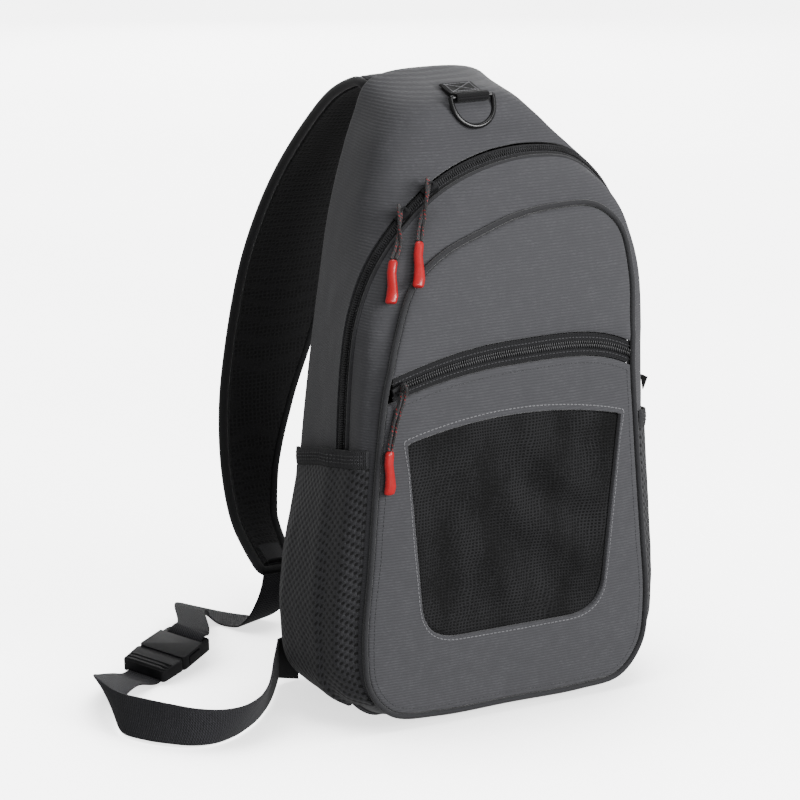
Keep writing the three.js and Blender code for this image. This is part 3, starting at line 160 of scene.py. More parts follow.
BACK_LOOP = [
    (0, 0, 1), (-0.44, 0, 1), (-0.7, 0.003, 1), (-0.86, 0.045, 1), (-0.89, 0.15, 1), (-0.89, 0.28, 1),
    (-0.845, 0.43, 1), (-0.775, 0.58, 1), (-0.725, 0.67, 1), (-0.665, 0.77, 1), (-0.58, 0.86, 1),
    (-0.49, 0.93, 1), (-0.385, 0.985, 1), (0, 1, 1), (0.39, 0.983, 1), (0.51, 0.92, 1), (0.655, 0.78, 1),
    (0.765, 0.6, 1), (0.845, 0.43, 1), (0.89, 0.28, 1), (0.89, 0.15, 1), (0.86, 0.045, 1),
    (0.7, 0.003, 1), (0.44, 0, 1),
]

# Side pocket: share of its bulge going up it, and from its front seam to its back seam; and its hem's row
BULGE_UP = ((0, 0.08, 0.25, 0.5, 0.75, 0.9, 1), (0, 0.4, 0.85, 1, 0.75, 0.38, 0.14))
BULGE_ALONG = ((0, 0.12, 0.4, 0.72, 0.9, 1), (0, 0.35, 0.75, 1, 0.72, 0))
HEM_ROWS = ((0, 0.5, 1), (6.02, 5.86, 5.62))
POCKET_FRONT = 0.045
POCKET_BACK = 0.94
POCKET_FOOT = 2.5                # station row of its lower edge

# Strap: left edge (share of BODY_HALF), back (of STRAP_REACH), up (of STRAP_TOP), half width (of
# STRAP_HALF) and roll in degrees
STRAP_ROWS = [
    (-0.385, 0.246, 0.955, 0.94, 0), (-0.395, 0.285, 0.961, 0.97, 2), (-0.4, 0.34, 0.953, 0.99, 2),
    (-0.42, 0.43, 0.928, 1, 1), (-0.44, 0.57, 0.865, 1, 0), (-0.47, 0.725, 0.775, 0.98, 0),
    (-0.5, 0.83, 0.69, 0.95, 0), (-0.53, 0.92, 0.588, 0.9, 0), (-0.575, 0.985, 0.435, 0.78, 0),
    (-0.6, 1, 0.335, 0.66, 0), (-0.625, 0.965, 0.24, 0.52, 0), (-0.65, 0.88, 0.165, 0.42, 0),
    (-0.66, 0.77, 0.125, 0.38, 0), (-0.665, 0.7, 0.108, 0.37, 0),
]

# Webbing: left (share of WEB_REACH), back (of WEB_BACK), up (of WEB_RISE), and the turn and stand of its
# width in degrees. LOWER_WEB's sixth to fifteenth rows are rounded from a fit of a ribbon of this width to
# the webbing's two edges in the photograph.
UPPER_WEB = [
    (0.227, 0.785, 1, 0, 0), (0.24, 0.774, 0.8, 2, 0), (0.258, 0.775, 0.55, 5, 0), (0.278, 0.8, 0.28, 12, 0),
    (0.297, 0.845, 0.1, 24, 0), (0.32, 0.91, 0.035, 42, 0), (0.352, 0.972, 0.04, 62, 0),
    (0.395, 0.99, 0.16, 88, 0), (0.442, 0.945, 0.36, 112, 0), (0.484, 0.86, 0.5, 116, 0),
]
LOWER_WEB = [
    (0.825, 0.45, 0.188, 113, 4), (0.88, 0.385, 0.278, 117, 14), (0.935, 0.285, 0.378, 118, 35),
    (0.968, 0.17, 0.398, 108, 58), (0.974, 0.055, 0.378, 88, 74), (0.94, -0.047, 0.388, 62, 82),
    (0.9, -0.124, 0.393, -40, 87), (0.853, -0.18, 0.378, -83, 79), (0.795, -0.203, 0.358, -78, 70),
    (0.732, -0.187, 0.348, -69, 64), (0.672, -0.142, 0.358, -60, 64), (0.618, -0.076, 0.373, -54, 70),
    (0.57, 0.002, 0.398, -53, 78), (0.525, 0.088, 0.418, -60, 85), (0.481, 0.176, 0.443, -70, 88),
    (0.45, 0.24, 0.458, -80, 89),
]
BUCKLE_PLACE = (0.66, 0.567, 0.293)
BUCKLE_ANGLES = (5.5, -9.7, 28.7)  # roll, tilt and turn in degrees

# Grip of a pull: place along it, half width and thickness as shares, and sway
GRIP_ROWS = [
    (0, 0.56, 0.6, 0), (0.07, 0.76, 0.85, 0.02), (0.3, 0.78, 0.9, 0.08), (0.6, 0.84, 0.92, -0.05),
    (0.82, 0.98, 1, -0.08), (0.95, 0.96, 0.88, 0), (1, 0.7, 0.55, 0.02),
]

# Routes of the pulls' cords and the ends of their grips, chosen as in the part
PULLS = {
    "main_upper": {
        "cord": [
            (-63, -50.4, 351.4), (-56.8, -42.5, 362), (-47.3, -35.6, 377.9), (-43, -30.5, 384.7),
            (-42.1, -28.4, 387.2), (-43.1, -28.8, 390.2), (-45.7, -32.5, 389.2), (-48.8, -37.8, 380.4),
            (-54, -43.4, 361.6), (-60.2, -51.1, 350.9),
        ],
        "top": (-61.8, -51.1, 350.4), "end": (-72.5, -68.9, 323), "face": (-0.15, -0.86, 0.48),
    },
    "main_lower": {
        "cord": [
            (-82.7, -48.3, 340), (-75.9, -42.6, 347.2), (-69.2, -35.9, 360.8), (-65.5, -31.1, 367.8),
            (-65.1, -28.8, 370.2), (-66.5, -29, 373), (-68.6, -33, 372.1), (-70.8, -37.8, 363),
            (-73.3, -44.2, 347.2), (-80.1, -49.9, 339.9),
        ],
        "top": (-81.8, -49.5, 339.2), "end": (-90.7, -62.6, 312), "face": (-0.45, -0.75, 0.5),
    },
    "pocket": {
        "cord": [
            (-103, -81, 211.8), (-98.5, -79.7, 228), (-94.5, -80.3, 244), (-92, -80.9, 253.8),
            (-91.6, -81.2, 257.2), (-91.3, -84.2, 258.5), (-91.2, -86.4, 254.5), (-92.6, -83.7, 245),
            (-95.5, -79.9, 228), (-100, -81, 211.8),
        ],
        "top": (-101.5, -81, 211), "end": (-102, -81.4, 180), "face": (0, -1, 0),
    },
}

# Camera: it looks from the photograph's azimuth and elevation, and stands so that a known point, at the foot
# of the front, is seen at its pixel and a millimetre there is SCALE pixels
AZIMUTH = -28.5
ELEVATION = 15.2
PHOTO_WIDTH = 800                # pixels
FOCAL_LENGTH = 3500              # pixels
SCALE = 1.4                      # pixels a millimetre
KNOWN_POINT = (-100, -75, 4)
KNOWN_PIXEL = (388, 728)
SENSOR_WIDTH = 36                # the camera's own, in millimetres


# Curves

def unit(v):
    length = np.linalg.norm(v, axis=-1, keepdims=True)
    return v / np.maximum(length, 1e-9)


def smooth(points, count, closed=False):
    """The centripetal Catmull-Rom curve through the points, at count even shares of its spans."""
    pts = np.array(points, float)
    spans = len(pts) if closed else len(pts) - 1
    out = []
    for k in range(count):
        place = spans * k / (count if closed else count - 1)
        i = min(int(place), spans - 1)
        w = place - i
        if closed:
            p0, p1, p2, p3 = (pts[(i + j) % len(pts)] for j in (-1, 0, 1, 2))
        else:
            p1, p2 = pts[i], pts[i + 1]
            p0 = pts[i - 1] if i > 0 else 2 * p1 - p2
            p3 = pts[i + 2] if i + 2 < len(pts) else 2 * p2 - p1
        d0, d1, d2 = (np.linalg.norm(b - a) ** 0.5 for a, b in ((p0, p1), (p1, p2), (p2, p3)))
        d1 = d1 if d1 > 1e-4 else 1
        d0 = d0 if d0 > 1e-4 else d1
        d2 = d2 if d2 > 1e-4 else d1
        t1 = ((p1 - p0) / d0 - (p2 - p0) / (d0 + d1) + (p2 - p1) / d1) * d1
        t2 = ((p2 - p1) / d1 - (p3 - p1) / (d1 + d2) + (p3 - p2) / d2) * d1
        square = -3 * p1 + 3 * p2 - 2 * t1 - t2
        cube = 2 * p1 - 2 * p2 + t1 + t2
        out.append(p1 + t1 * w + square * w * w + cube * w ** 3)
    return np.array(out)


def resample(step, line, *others):
    """The line at an even step, and the values that go with it."""
    line = np.asarray(line, float)
    along = np.concatenate([[0], np.cumsum(np.linalg.norm(np.diff(line, axis=0), axis=1))])
    to = np.linspace(0, along[-1], max(2, int(round(along[-1] / step)) + 1))
    return [np.stack([np.interp(to, along, v[:, k]) for k in range(3)], axis=1) for v in (line, *others)]


def even(points, step):
    return resample(step, points)[0]


def line_length(points):
    return float(np.linalg.norm(np.diff(np.array(points), axis=0), axis=1).sum())


def ease(x):
    x = np.clip(x, 0, 1)
    return x * x * (3 - 2 * x)


def front_plane(z):
    """Depth of the front at a height; above the pocket zip it leans back."""
    return FRONT_Y + FRONT_LEAN * np.maximum(0, np.asarray(z, float) - ZIP_LEVEL)


def ring(rows):
    """A fine loop round the body from rows of shares."""
    pts = []
    for row in rows:
        z = row[1] * BODY_HEIGHT
        y = FRONT_Y + row[2] * DEPTH if len(row) > 2 else float(front_plane(z))
        pts.append((row[0] * BODY_HALF, y, z))
    fine = smooth(pts, STEPS, True)
    fine[:, 2] = np.maximum(fine[:, 2], 0)
    return fine


def inset(loop, amount):
    """The loop moved inward, seen from the front."""
    tangent = np.roll(loop, -2, axis=0) - np.roll(loop, 2, axis=0)
    inward = unit(np.stack([tangent[:, 2], 0 * tangent[:, 0], -tangent[:, 0]], axis=1))
    return loop + inward * np.broadcast_to(amount, (len(loop),))[:, None]


def shift(points, dy):
    return points + np.array([0, dy, 0])


front = ring(FRONT_LOOP)
front[:, 1] = front_plane(front[:, 2])
outer = ring(OUTER_LOOP)
mouth = ring(MOUTH_LOOP)
shoulder = ring(SHOULDER_LOOP)
back = ring(BACK_LOOP)
swell = GUSSET_PUFF * ease((front[:, 2] * 0.55 + outer[:, 2] * 0.45) / (0.12 * BODY_HEIGHT))
gusset_middle = inset(front * 0.55 + outer * 0.45, -swell)
panel_edge = inset(front, FRONT_PIPING + SEAM)


def at_row(loop, row):
    """Points of a loop at station rows, which may lie between two stations."""
    place = (np.asarray(row, float) % STATIONS) * PER_STATION
    low = np.floor(place).astype(int)
    mix = (place - low)[..., None]
    return loop[low % STEPS] * (1 - mix) + loop[(low + 1) % STEPS] * mix


SKIN = [(0, front), (0.12, gusset_middle), (0.25, outer), (0.36, mouth), (0.65, shoulder), (1, back)]


def skin_point(row, share):
    """A point of the body's side, at a share of the way from the front to the back."""
    for (low, a), (high, b) in zip(SKIN, SKIN[1:]):
        if share <= high or high == 1:
            mix = (share - low) / (high - low)
            return at_row(a, row) * (1 - mix) + at_row(b, row) * mix


# Meshes

def make(name, points, faces, uv=None):
    """A piece from points in millimetres. uv is one pair a point, also in millimetres."""
    mesh = bpy.data.meshes.new(name)
    mesh.from_pydata([tuple(p) for p in np.asarray(points, float) * MM], [], faces)
    if uv is not None:
        layer = mesh.uv_layers.new(name="cloth")
        loops = np.zeros(len(mesh.loops), int)
        mesh.loops.foreach_get("vertex_index", loops)
        layer.data.foreach_set("uv", (np.asarray(uv, float)[loops] * MM).ravel())
    obj = bpy.data.objects.new(name, mesh)
    bpy.context.scene.collection.objects.link(obj)
    tidy(obj)
    return obj


def tidy(obj, angle=42):
    """Turns the faces outward and smooths the edges that bend by less than the angle."""
    bm = bmesh.new()
    bm.from_mesh(obj.data)
    bmesh.ops.recalc_face_normals(bm, faces=bm.faces)
    for face in bm.faces:
        face.smooth = True
    for edge in bm.edges:
        edge.smooth = len(edge.link_faces) == 2 and edge.calc_face_angle(0) < math.radians(angle)
    bm.to_mesh(obj.data)
    bm.free()


def grid_normals(grid, wrap):
    if wrap:
        du = np.roll(grid, -1, axis=1) - np.roll(grid, 1, axis=1)
    else:
        du = np.gradient(grid, axis=1)
    dv = np.gradient(grid, axis=0)
    return unit(np.cross(du, dv))


def slab(name, top, bottom, wrap=False, pole=False):
    """A closed piece between two grids. pole closes the last row."""
    top, bottom = np.asarray(top, float), np.asarray(bottom, float)
    rows, cols = top.shape[:2]
    count = rows * cols
    faces = []
    span = cols if wrap else cols - 1
    for r in range(rows - 1):
        for c in range(span):
            d = (c + 1) % cols
            quad = (r * cols + c, r * cols + d, (r + 1) * cols + d, (r + 1) * cols + c)
            faces.append(quad)
            faces.append(tuple(count + i for i in reversed(quad)))
    for r in (0, rows - 1):
        if pole and r == rows - 1:
            faces.append(tuple(r * cols + c for c in range(cols)))
            faces.append(tuple(count + r * cols + c for c in reversed(range(cols))))
            continue
        for c in range(span):
            d = (c + 1) % cols
            faces.append((r * cols + c, r * cols + d, count + r * cols + d, count + r * cols + c))
    if not wrap:
        for c in (0, cols - 1):
            for r in range(rows - 1):
                a, b = r * cols + c, (r + 1) * cols + c
                faces.append((a, b, count + b, count + a))
    across = np.linalg.norm(np.diff(top, axis=1), axis=2)
    along = np.linalg.norm(np.diff(top, axis=0), axis=2)
    u = np.concatenate([np.zeros((rows, 1)), np.cumsum(across, axis=1)], axis=1)
    v = np.concatenate([np.zeros((1, cols)), np.cumsum(along, axis=0)], axis=0)
    uv = np.stack([u, v], axis=2).reshape(-1, 2)
    points = np.concatenate([top.reshape(-1, 3), bottom.reshape(-1, 3)])
    return make(name, points, faces, np.concatenate([uv, uv]))


def sheet(name, grid, thickness, wrap=False, pole=False):
    """A cloth wall: the grid is its outer face, and its inner face lies a thickness behind."""
    return slab(name, grid, grid - grid_normals(grid, wrap) * thickness, wrap, pole)


def rings_of_faces(count, sides, closed=False):
    """Faces of a skin over count rings of points, with its ends filled unless it closes on itself."""
    faces = []
    for r in range(count if closed else count - 1):
        q = (r + 1) % count
        for c in range(sides):
            d = (c + 1) % sides
            faces.append((r * sides + c, r * sides + d, q * sides + d, q * sides + c))
    if not closed:
        faces.append(tuple(reversed(range(sides))))
        faces.append(tuple((count - 1) * sides + c for c in range(sides)))
    return faces


def tube(name, line, radius, sides=12, closed=False, up=(0, 0, 1)):
    """A round section along a line."""
    line = np.asarray(line, float)
    if closed:
        tangent = unit(np.roll(line, -1, axis=0) - np.roll(line, 1, axis=0))
    else:
        tangent = unit(np.gradient(line, axis=0))
    side = np.zeros_like(line)
    reference = np.array(up, float)
    for i, t in enumerate(tangent):
        s = reference - t * reference.dot(t)
        side[i] = s / max(np.linalg.norm(s), 1e-9)
        reference = side[i] if not closed else reference
    other = np.cross(tangent, side)
    radius = np.broadcast_to(radius, (len(line),))
    angle = 2 * math.pi * np.arange(sides) / sides
    grid = np.stack([
        line + side * (radius * math.cos(a))[:, None] + other * (radius * math.sin(a))[:, None]
        for a in angle
    ], axis=1)
    step = np.concatenate([[0], np.cumsum(np.linalg.norm(np.diff(line, axis=0), axis=1))])
    round_at = np.arange(sides) / sides * 2 * math.pi * float(np.mean(radius))
    uv = np.stack(np.meshgrid(step, round_at, indexing="ij"), axis=2).reshape(-1, 2)
    return make(name, grid.reshape(-1, 3), rings_of_faces(len(line), sides, closed), uv)


def copy_node(node, name, bevel, segments=2):
    """A finer copy of a hard CAD piece, with its edges rounded."""
    obj = bpy.data.objects.new(name, nodes[node].data.copy())
    bpy.context.scene.collection.objects.link(obj)
    bm = bmesh.new()
    bm.from_mesh(obj.data)
    bmesh.ops.remove_doubles(bm, verts=bm.verts, dist=1e-6)
    bmesh.ops.dissolve_limit(bm, angle_limit=math.radians(2), verts=bm.verts, edges=bm.edges)
    bm.to_mesh(obj.data)
    bm.free()
    edges = obj.modifiers.new("edges", "BEVEL")
    edges.width = bevel * MM
    edges.segments = segments
    edges.limit_method = "ANGLE"
    edges.angle_limit = math.radians(35)
    edges.use_clamp_overlap = True
    apply(obj)
    tidy(obj, 50)
    return obj


def apply(obj):
    """Turns the modifiers' result into the mesh."""
    bpy.context.view_layer.update()
    evaluated = obj.evaluated_get(bpy.context.evaluated_depsgraph_get())
    mesh = bpy.data.meshes.new_from_object(evaluated)
    obj.modifiers.clear()
    obj.data = mesh


def join(name, objects):
    """Several meshes as one piece."""
    points, faces, uvs = [], [], []
    for obj in objects:
        start = len(points)
        points += [v.co.copy() for v in obj.data.vertices]
        layer = obj.data.uv_layers.active
        for face in obj.data.polygons:
            faces.append(tuple(start + i for i in face.vertices))
            uvs += [tuple(layer.data[i].uv) if layer else (0, 0) for i in face.loop_indices]
        bpy.data.objects.remove(obj)
    mesh = bpy.data.meshes.new(name)
    mesh.from_pydata(points, [], faces)
    layer = mesh.uv_layers.new(name="cloth")
    layer.data.foreach_set("uv", np.array(uvs, float).ravel())
    obj = bpy.data.objects.new(name, mesh)
    bpy.context.scene.collection.objects.link(obj)
    tidy(obj)
    return obj


def rough(points, size, seed=0.0):
    """Smooth noise from -1 to 1 at each point, with features about size millimetres across."""
    flat = np.asarray(points, float).reshape(-1, 3) / size + seed
    values = [noise.noise(Vector(p)) for p in flat]
    return np.array(values).reshape(np.asarray(points).shape[:-1])


def place(obj, material, slot, body="bag", replaces=()):
    """Gives a piece its finish and its body, and the nodes it stands for. slot is not used."""
    obj.data.materials.clear()
    obj.data.materials.append(material)
    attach(obj, body)
    if replaces:
        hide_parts(*replaces)
    return obj


# Cloth, moulded and metal finishes

TONE = 0.5                       # the studio's light brings the finishes up by about this


def rgb(red, green, blue, tone=TONE):
    """A colour as seen in the photograph, from 0 to 255, as Blender's linear value."""
    def linear(c):
        c /= 255
        return c / 12.92 if c <= 0.04045 else ((c + 0.055) / 1.055) ** 2.4
    return (tone * linear(red), tone * linear(green), tone * linear(blue), 1)


class Look:
    """A material and short ways to add its nodes."""

    def __init__(self, name, roughness, metallic=0.0, specular=0.5, sheen=0.0, coat=0.0):
        self.material = bpy.data.materials.new(name)
        self.material.use_nodes = True
        self.tree = self.material.node_tree
        self.shader = self.tree.nodes["Principled BSDF"]
        self.shader.inputs["Roughness"].default_value = roughness
        self.shader.inputs["Metallic"].default_value = metallic
        self.shader.inputs["Specular IOR Level"].default_value = specular
        self.shader.inputs["Sheen Weight"].default_value = sheen
        self.shader.inputs["Coat Weight"].default_value = coat

    def node(self, kind, **settings):
        node = self.tree.nodes.new("ShaderNode" + kind)
        for key, value in settings.items():
            setattr(node, key, value)
        return node

    def link(self, a, b):
        self.tree.links.new(a, b)

    def math(self, operation, a, b=None):
        node = self.node("Math", operation=operation)
        for socket, value in zip(node.inputs, (a, b)):
            if value is None:
                continue
            if isinstance(value, (int, float)):
                socket.default_value = value
            else:
                self.link(value, socket)
        return node.outputs[0]

    def place(self):
        return self.node("TexCoord").outputs["Object"]

    def axes(self, source):
        split = self.node("SeparateXYZ")
        self.link(source, split.inputs[0])
        return split.outputs

    def cloth_axes(self):
        return self.axes(self.node("UVMap", uv_map="cloth").outputs[0])

    def noise(self, size, detail=3.0, stretch=None):
        """Noise with features about size millimetres across, from 0 to 1."""
        node = self.node("TexNoise")
        node.inputs["Scale"].default_value = 1 / (size * MM)
        node.inputs["Detail"].default_value = detail
        place_out = self.place()
        if stretch:
            mapping = self.node("Mapping")
            mapping.inputs["Scale"].default_value = stretch
            self.link(place_out, mapping.inputs[0])
            place_out = mapping.outputs[0]
        self.link(place_out, node.inputs["Vector"])
        return node.outputs["Fac"]

    def wave(self, axis, pitch, phase=0.0):
        """A wave from -1 to 1 along an axis, one every pitch millimetres."""
        turns = self.math("MULTIPLY", axis, 2 * math.pi / (pitch * MM))
        return self.math("SINE", self.math("ADD", turns, phase))

    def ramp(self, value, low, high, dark, light):
        fit = self.node("MapRange", interpolation_type="SMOOTHSTEP")
        fit.inputs["From Min"].default_value = low
        fit.inputs["From Max"].default_value = high
        self.link(value, fit.inputs["Value"])
        mix = self.node("Mix", data_type="RGBA")
        self.link(fit.outputs[0], mix.inputs["Factor"])
        for socket, colour in ((mix.inputs["A"], dark), (mix.inputs["B"], light)):
            if isinstance(colour, tuple):
                socket.default_value = colour
            else:
                self.link(colour, socket)
        return mix.outputs["Result"]

    def colour(self, value):
        self.link(value, self.shader.inputs["Base Color"])

    def bump(self, height, strength, distance):
        node = self.node("Bump")
        node.inputs["Strength"].default_value = strength
        node.inputs["Distance"].default_value = distance * MM
        self.link(height, node.inputs["Height"])
        self.link(node.outputs[0], self.shader.inputs["Normal"])

    def roughness(self, value, low, high):
        fit = self.node("MapRange")
        fit.inputs["To Min"].default_value = low
        fit.inputs["To Max"].default_value = high
        self.link(value, fit.inputs["Value"])
        self.link(fit.outputs[0], self.shader.inputs["Roughness"])


def ribbed_cloth(name, dark, light, pitch, depth=0.35):
    """A plain woven cloth with thin level ribs, painted shade in their grooves, and slight mottling."""
    look = Look(name, 0.82, specular=0.25, sheen=0.15)
    axes = look.axes(look.place())
    uneven = look.noise(9, 2)
    wobble = look.math("MULTIPLY", look.noise(40, 1), 4)
    turns = look.math("MULTIPLY", axes[2], 2 * math.pi / (pitch * MM))
    rib = look.math("SINE", look.math("ADD", turns, wobble))
    thread = look.noise(0.9, 2, (0.35, 0.35, 1))
    height = look.math("ADD", look.math("MULTIPLY", rib, 0.5), look.math("MULTIPLY", thread, 1.4))
    base = look.ramp(uneven, 0.25, 0.75, dark, light)
    # Painted shade: the rib grooves are darker than the cloth's darkest tone.
    line = look.ramp(rib, -1, -0.3, tuple(c * 0.8 for c in dark[:3]) + (1,), base)
    fleck = look.ramp(thread, 0.3, 0.72, dark, line)
    look.colour(fleck)
    look.bump(height, 0.5, depth)
    look.roughness(uneven, 0.74, 0.9)
    return look.material


def dark_cloth(name, dark, light):
    """A close black or charcoal cloth, as on tapes and bindings."""
    look = Look(name, 0.8, specular=0.3, sheen=0.2)
    thread = look.noise(0.8, 3)
    wide = look.noise(14, 2)
    look.colour(look.ramp(look.math("ADD", thread, look.math("MULTIPLY", wide, 0.4)), 0.4, 0.95, dark, light))
    look.bump(thread, 0.5, 0.4)
    look.roughness(wide, 0.7, 0.88)
    return look.material


def stretch_mesh(name, hole, thread_dark, thread_light, along, down, size):
    """Knitted mesh with round holes in a staggered lattice."""
    look = Look(name, 0.75, specular=0.3, sheen=0.1)
    axes = look.cloth_axes()
    a = look.math("COSINE", look.math("MULTIPLY", axes[0], 2 * math.pi / (along * MM)))
    b = look.math("COSINE", look.math("MULTIPLY", axes[1], math.pi / (down * MM)))
    lattice = look.math("MULTIPLY", a, b)
    thread = look.noise(0.9, 2)
    cloth = look.ramp(thread, 0.3, 0.7, thread_dark, thread_light)
    look.colour(look.ramp(lattice, size - 0.14, size + 0.14, cloth, hole))
    look.bump(look.math("SUBTRACT", look.math("MULTIPLY", thread, 0.6), lattice), 0.7, 0.6)
    return look.material


def fine_knit(name, hole, thread_dark, thread_light, pitch):
    """Close black knit with a small square grid, on the front window."""
    look = Look(name, 0.8, specular=0.18, sheen=0.02)
    axes = look.axes(look.place())
    warp = look.math("MULTIPLY", look.noise(45, 2), 0.02)
    column = look.math("ADD", look.math("ADD", axes[0], look.math("MULTIPLY", axes[2], -0.12)), warp)
    lattice = look.math("MINIMUM", look.wave(column, pitch), look.wave(axes[2], pitch * 0.9))
    thread = look.noise(1.2, 2)
    patchy = look.noise(28, 2, (1, 1, 0.5))
    cloth = look.ramp(look.math("ADD", thread, patchy), 0.7, 1.25, thread_dark, thread_light)
    look.colour(look.ramp(lattice, -0.35, 0.15, cloth, hole))
    look.bump(look.math("SUBTRACT", thread, lattice), 0.6, 0.4)
    return look.material


def spacer_mesh(name, hole, thread_dark, thread_light):
    """Open black spacer mesh, on the strap's inner side and the back."""
    look = Look(name, 0.8, specular=0.25, sheen=0.1)
    cells = look.node("TexVoronoi", feature="DISTANCE_TO_EDGE")
    cells.inputs["Scale"].default_value = 1 / (3.4 * MM)
    cells.inputs["Randomness"].default_value = 0.25
    look.link(look.place(), cells.inputs["Vector"])
    edge = cells.outputs["Distance"]
    thread = look.noise(1.0, 2)
    cloth = look.ramp(thread, 0.3, 0.7, thread_dark, thread_light)
    look.colour(look.ramp(edge, 0.1, 0.32, cloth, hole))
    look.bump(look.math("SUBTRACT", look.math("MULTIPLY", thread, 0.3), edge), 0.8, 0.9)
    return look.material


def webbing(name, dark, light, pitch, row=1):
    """Woven tape with fine ribs across its length."""
    look = Look(name, 0.72, specular=0.2, sheen=0.05)
    axes = look.cloth_axes()
    rib = look.wave(axes[row], pitch)
    weave = look.math("MULTIPLY", rib, look.wave(axes[1 - row], 2.2))
    thread = look.noise(1.1, 2)
    height = look.math("ADD", look.math("MULTIPLY", weave, 0.6), thread)
    look.colour(look.ramp(height, 0.05, 1.0, dark, light))
    look.bump(look.math("ADD", rib, height), 0.6, 0.35)
    return look.material


def braid(name, dark, light, fleck):
    """Round braid: crossing strands, with a red fleck on every few of them."""
    look = Look(name, 0.6, specular=0.35, sheen=0.15)
    axes = look.cloth_axes()
    one = look.wave(look.math("ADD", axes[0], axes[1]), 2.1)
    other = look.wave(look.math("SUBTRACT", axes[0], axes[1]), 2.1, 0.8)
    strands = look.math("MULTIPLY", one, other)
    slow = look.math("MULTIPLY", look.wave(axes[0], 6.3), look.wave(look.math("ADD", axes[0], axes[1]), 4.2))
    base = look.ramp(strands, -0.6, 0.6, dark, light)
    look.colour(look.ramp(slow, 0.72, 0.82, base, fleck))
    look.bump(strands, 0.7, 0.5)
    return look.material


def moulded(name, dark, light, roughness=0.42, coat=0.0, metallic=0.0, grain=0.12, specular=0.4):
    """Moulded plastic, rubber or coated metal, with fine grain and slight wear."""
    look = Look(name, roughness, metallic=metallic, specular=specular, coat=coat)
    fine = look.noise(0.5, 3)
    wide = look.noise(8, 3)
    look.colour(look.ramp(wide, 0.3, 0.75, dark, light))
    look.bump(fine, 0.35, grain)
    look.roughness(wide, roughness - 0.08, roughness + 0.1)
    return look.material


GREY_CLOTH = ribbed_cloth("grey_cloth", rgb(82, 82, 86), rgb(97, 97, 101), 2.1)
CHARCOAL = dark_cloth("charcoal_cloth", rgb(34, 34, 37), rgb(52, 52, 56))
BLACK_CLOTH = dark_cloth("black_cloth", rgb(20, 20, 22), rgb(36, 36, 39))
TAPE = webbing("zip_tape", rgb(22, 22, 24), rgb(46, 46, 49), 1.2)
SIDE_MESH = stretch_mesh("side_mesh", rgb(9, 9, 10), rgb(50, 50, 53), rgb(72, 72, 76), 7.35, 3.2, 0.36)
WINDOW_MESH = fine_knit("window_mesh", rgb(3, 3, 4), rgb(14, 14, 15), rgb(46, 46, 48), 2.6)
SPACER = spacer_mesh("spacer_mesh", rgb(7, 7, 8), rgb(24, 24, 25), rgb(44, 44, 46))
ELASTIC = webbing("elastic", rgb(40, 40, 42), rgb(70, 70, 73), 1.5, 0)
WEBBING = webbing("webbing", rgb(27, 27, 30), rgb(70, 70, 75), 1.9)
# The D-ring's tab is the same webbing with painted shade: a darker copy of its colours.
SHADED_TAB_WEBBING = webbing("shaded_tab_webbing", rgb(8, 8, 10), rgb(22, 22, 24), 1.9)
COIL = moulded("zip_coil", rgb(28, 28, 30), rgb(56, 56, 59), 0.5)
THREAD_LIGHT = dark_cloth("light_thread", rgb(124, 124, 128), rgb(160, 160, 164))
THREAD_GREY = dark_cloth("grey_thread", rgb(58, 58, 61), rgb(84, 84, 88))
PLASTIC = moulded("black_plastic", rgb(24, 24, 26), rgb(40, 40, 43), 0.56, specular=0.22)
METAL = moulded("black_metal", rgb(18, 18, 20), rgb(32, 32, 34), 0.3, coat=0.3, metallic=0.4, grain=0.05)
CORD = braid("braided_cord", rgb(14, 14, 16), rgb(58, 54, 56), rgb(190, 30, 36))
RED = moulded("red_rubber", rgb(214, 14, 24), rgb(232, 22, 34), 0.36, coat=0.25, grain=0.05)


# Camera

azimuth, elevation = math.radians(AZIMUTH), math.radians(ELEVATION)
level_view = math.cos(elevation)
backward = Vector((math.sin(azimuth) * level_view, -math.cos(azimuth) * level_view, math.sin(elevation)))
rightward = Vector((math.cos(azimuth), math.sin(azimuth), 0))
upward = backward.cross(rightward)
off_centre = rightward * (KNOWN_PIXEL[0] - PHOTO_WIDTH / 2) + upward * (PHOTO_WIDTH / 2 - KNOWN_PIXEL[1])
camera_data = bpy.data.cameras.new("camera")
camera_data.lens = FOCAL_LENGTH * SENSOR_WIDTH / PHOTO_WIDTH
camera = bpy.data.objects.new("camera", camera_data)
camera.location = (Vector(KNOWN_POINT) + (backward * FOCAL_LENGTH - off_centre) / SCALE) * MM
camera.rotation_euler = (math.pi / 2 - elevation, 0, azimuth)
bpy.context.scene.collection.objects.link(camera)
bpy.context.scene.camera = camera


# Pulls: each cord is a loop through its slider's bridge, and its two ends go into a moulded grip

def grip(name, pull):
    """A moulded grip, flared and slightly waisted."""
    top = np.array(pull["top"], float)
    along = np.array(pull["end"], float) - top
    length = np.linalg.norm(along)
    along = along / length
    side = unit(np.cross(along, np.array(pull["face"], float)))
    face = np.cross(side, along)
    rows = smooth([(100 * r[0], 100 * r[1], 100 * r[2]) for r in GRIP_ROWS], 40) / 100
    sway = np.interp(rows[:, 0], [r[0] for r in GRIP_ROWS], [r[3] for r in GRIP_ROWS])
    sides = 24
    angle = 2 * math.pi * np.arange(sides) / sides
    across = np.cos(angle) * 0.5 * rows[:, 1:2] + sway[:, None]
    out = np.sin(angle) * 0.5 * rows[:, 2:3]
    grid = top + (rows[:, 0:1, None] * length) * along
    grid = grid + across[..., None] * GRIP_WIDTH * side + out[..., None] * GRIP_THICKNESS * face
    return make(name, grid.reshape(-1, 3), rings_of_faces(len(rows), sides))


for key, pull in PULLS.items():
    line = smooth(pull["cord"], 130)
    cord = tube("cord_" + key, line, CORD_DIAMETER / 2, 14, up=(0.3, 0.2, 1))
    place(cord, CORD, "cord", replaces=["pull_cord_" + key])
    handle = place(grip("grip_" + key, pull), RED, "red_grip", replaces=["pull_grip_" + key])


# Body

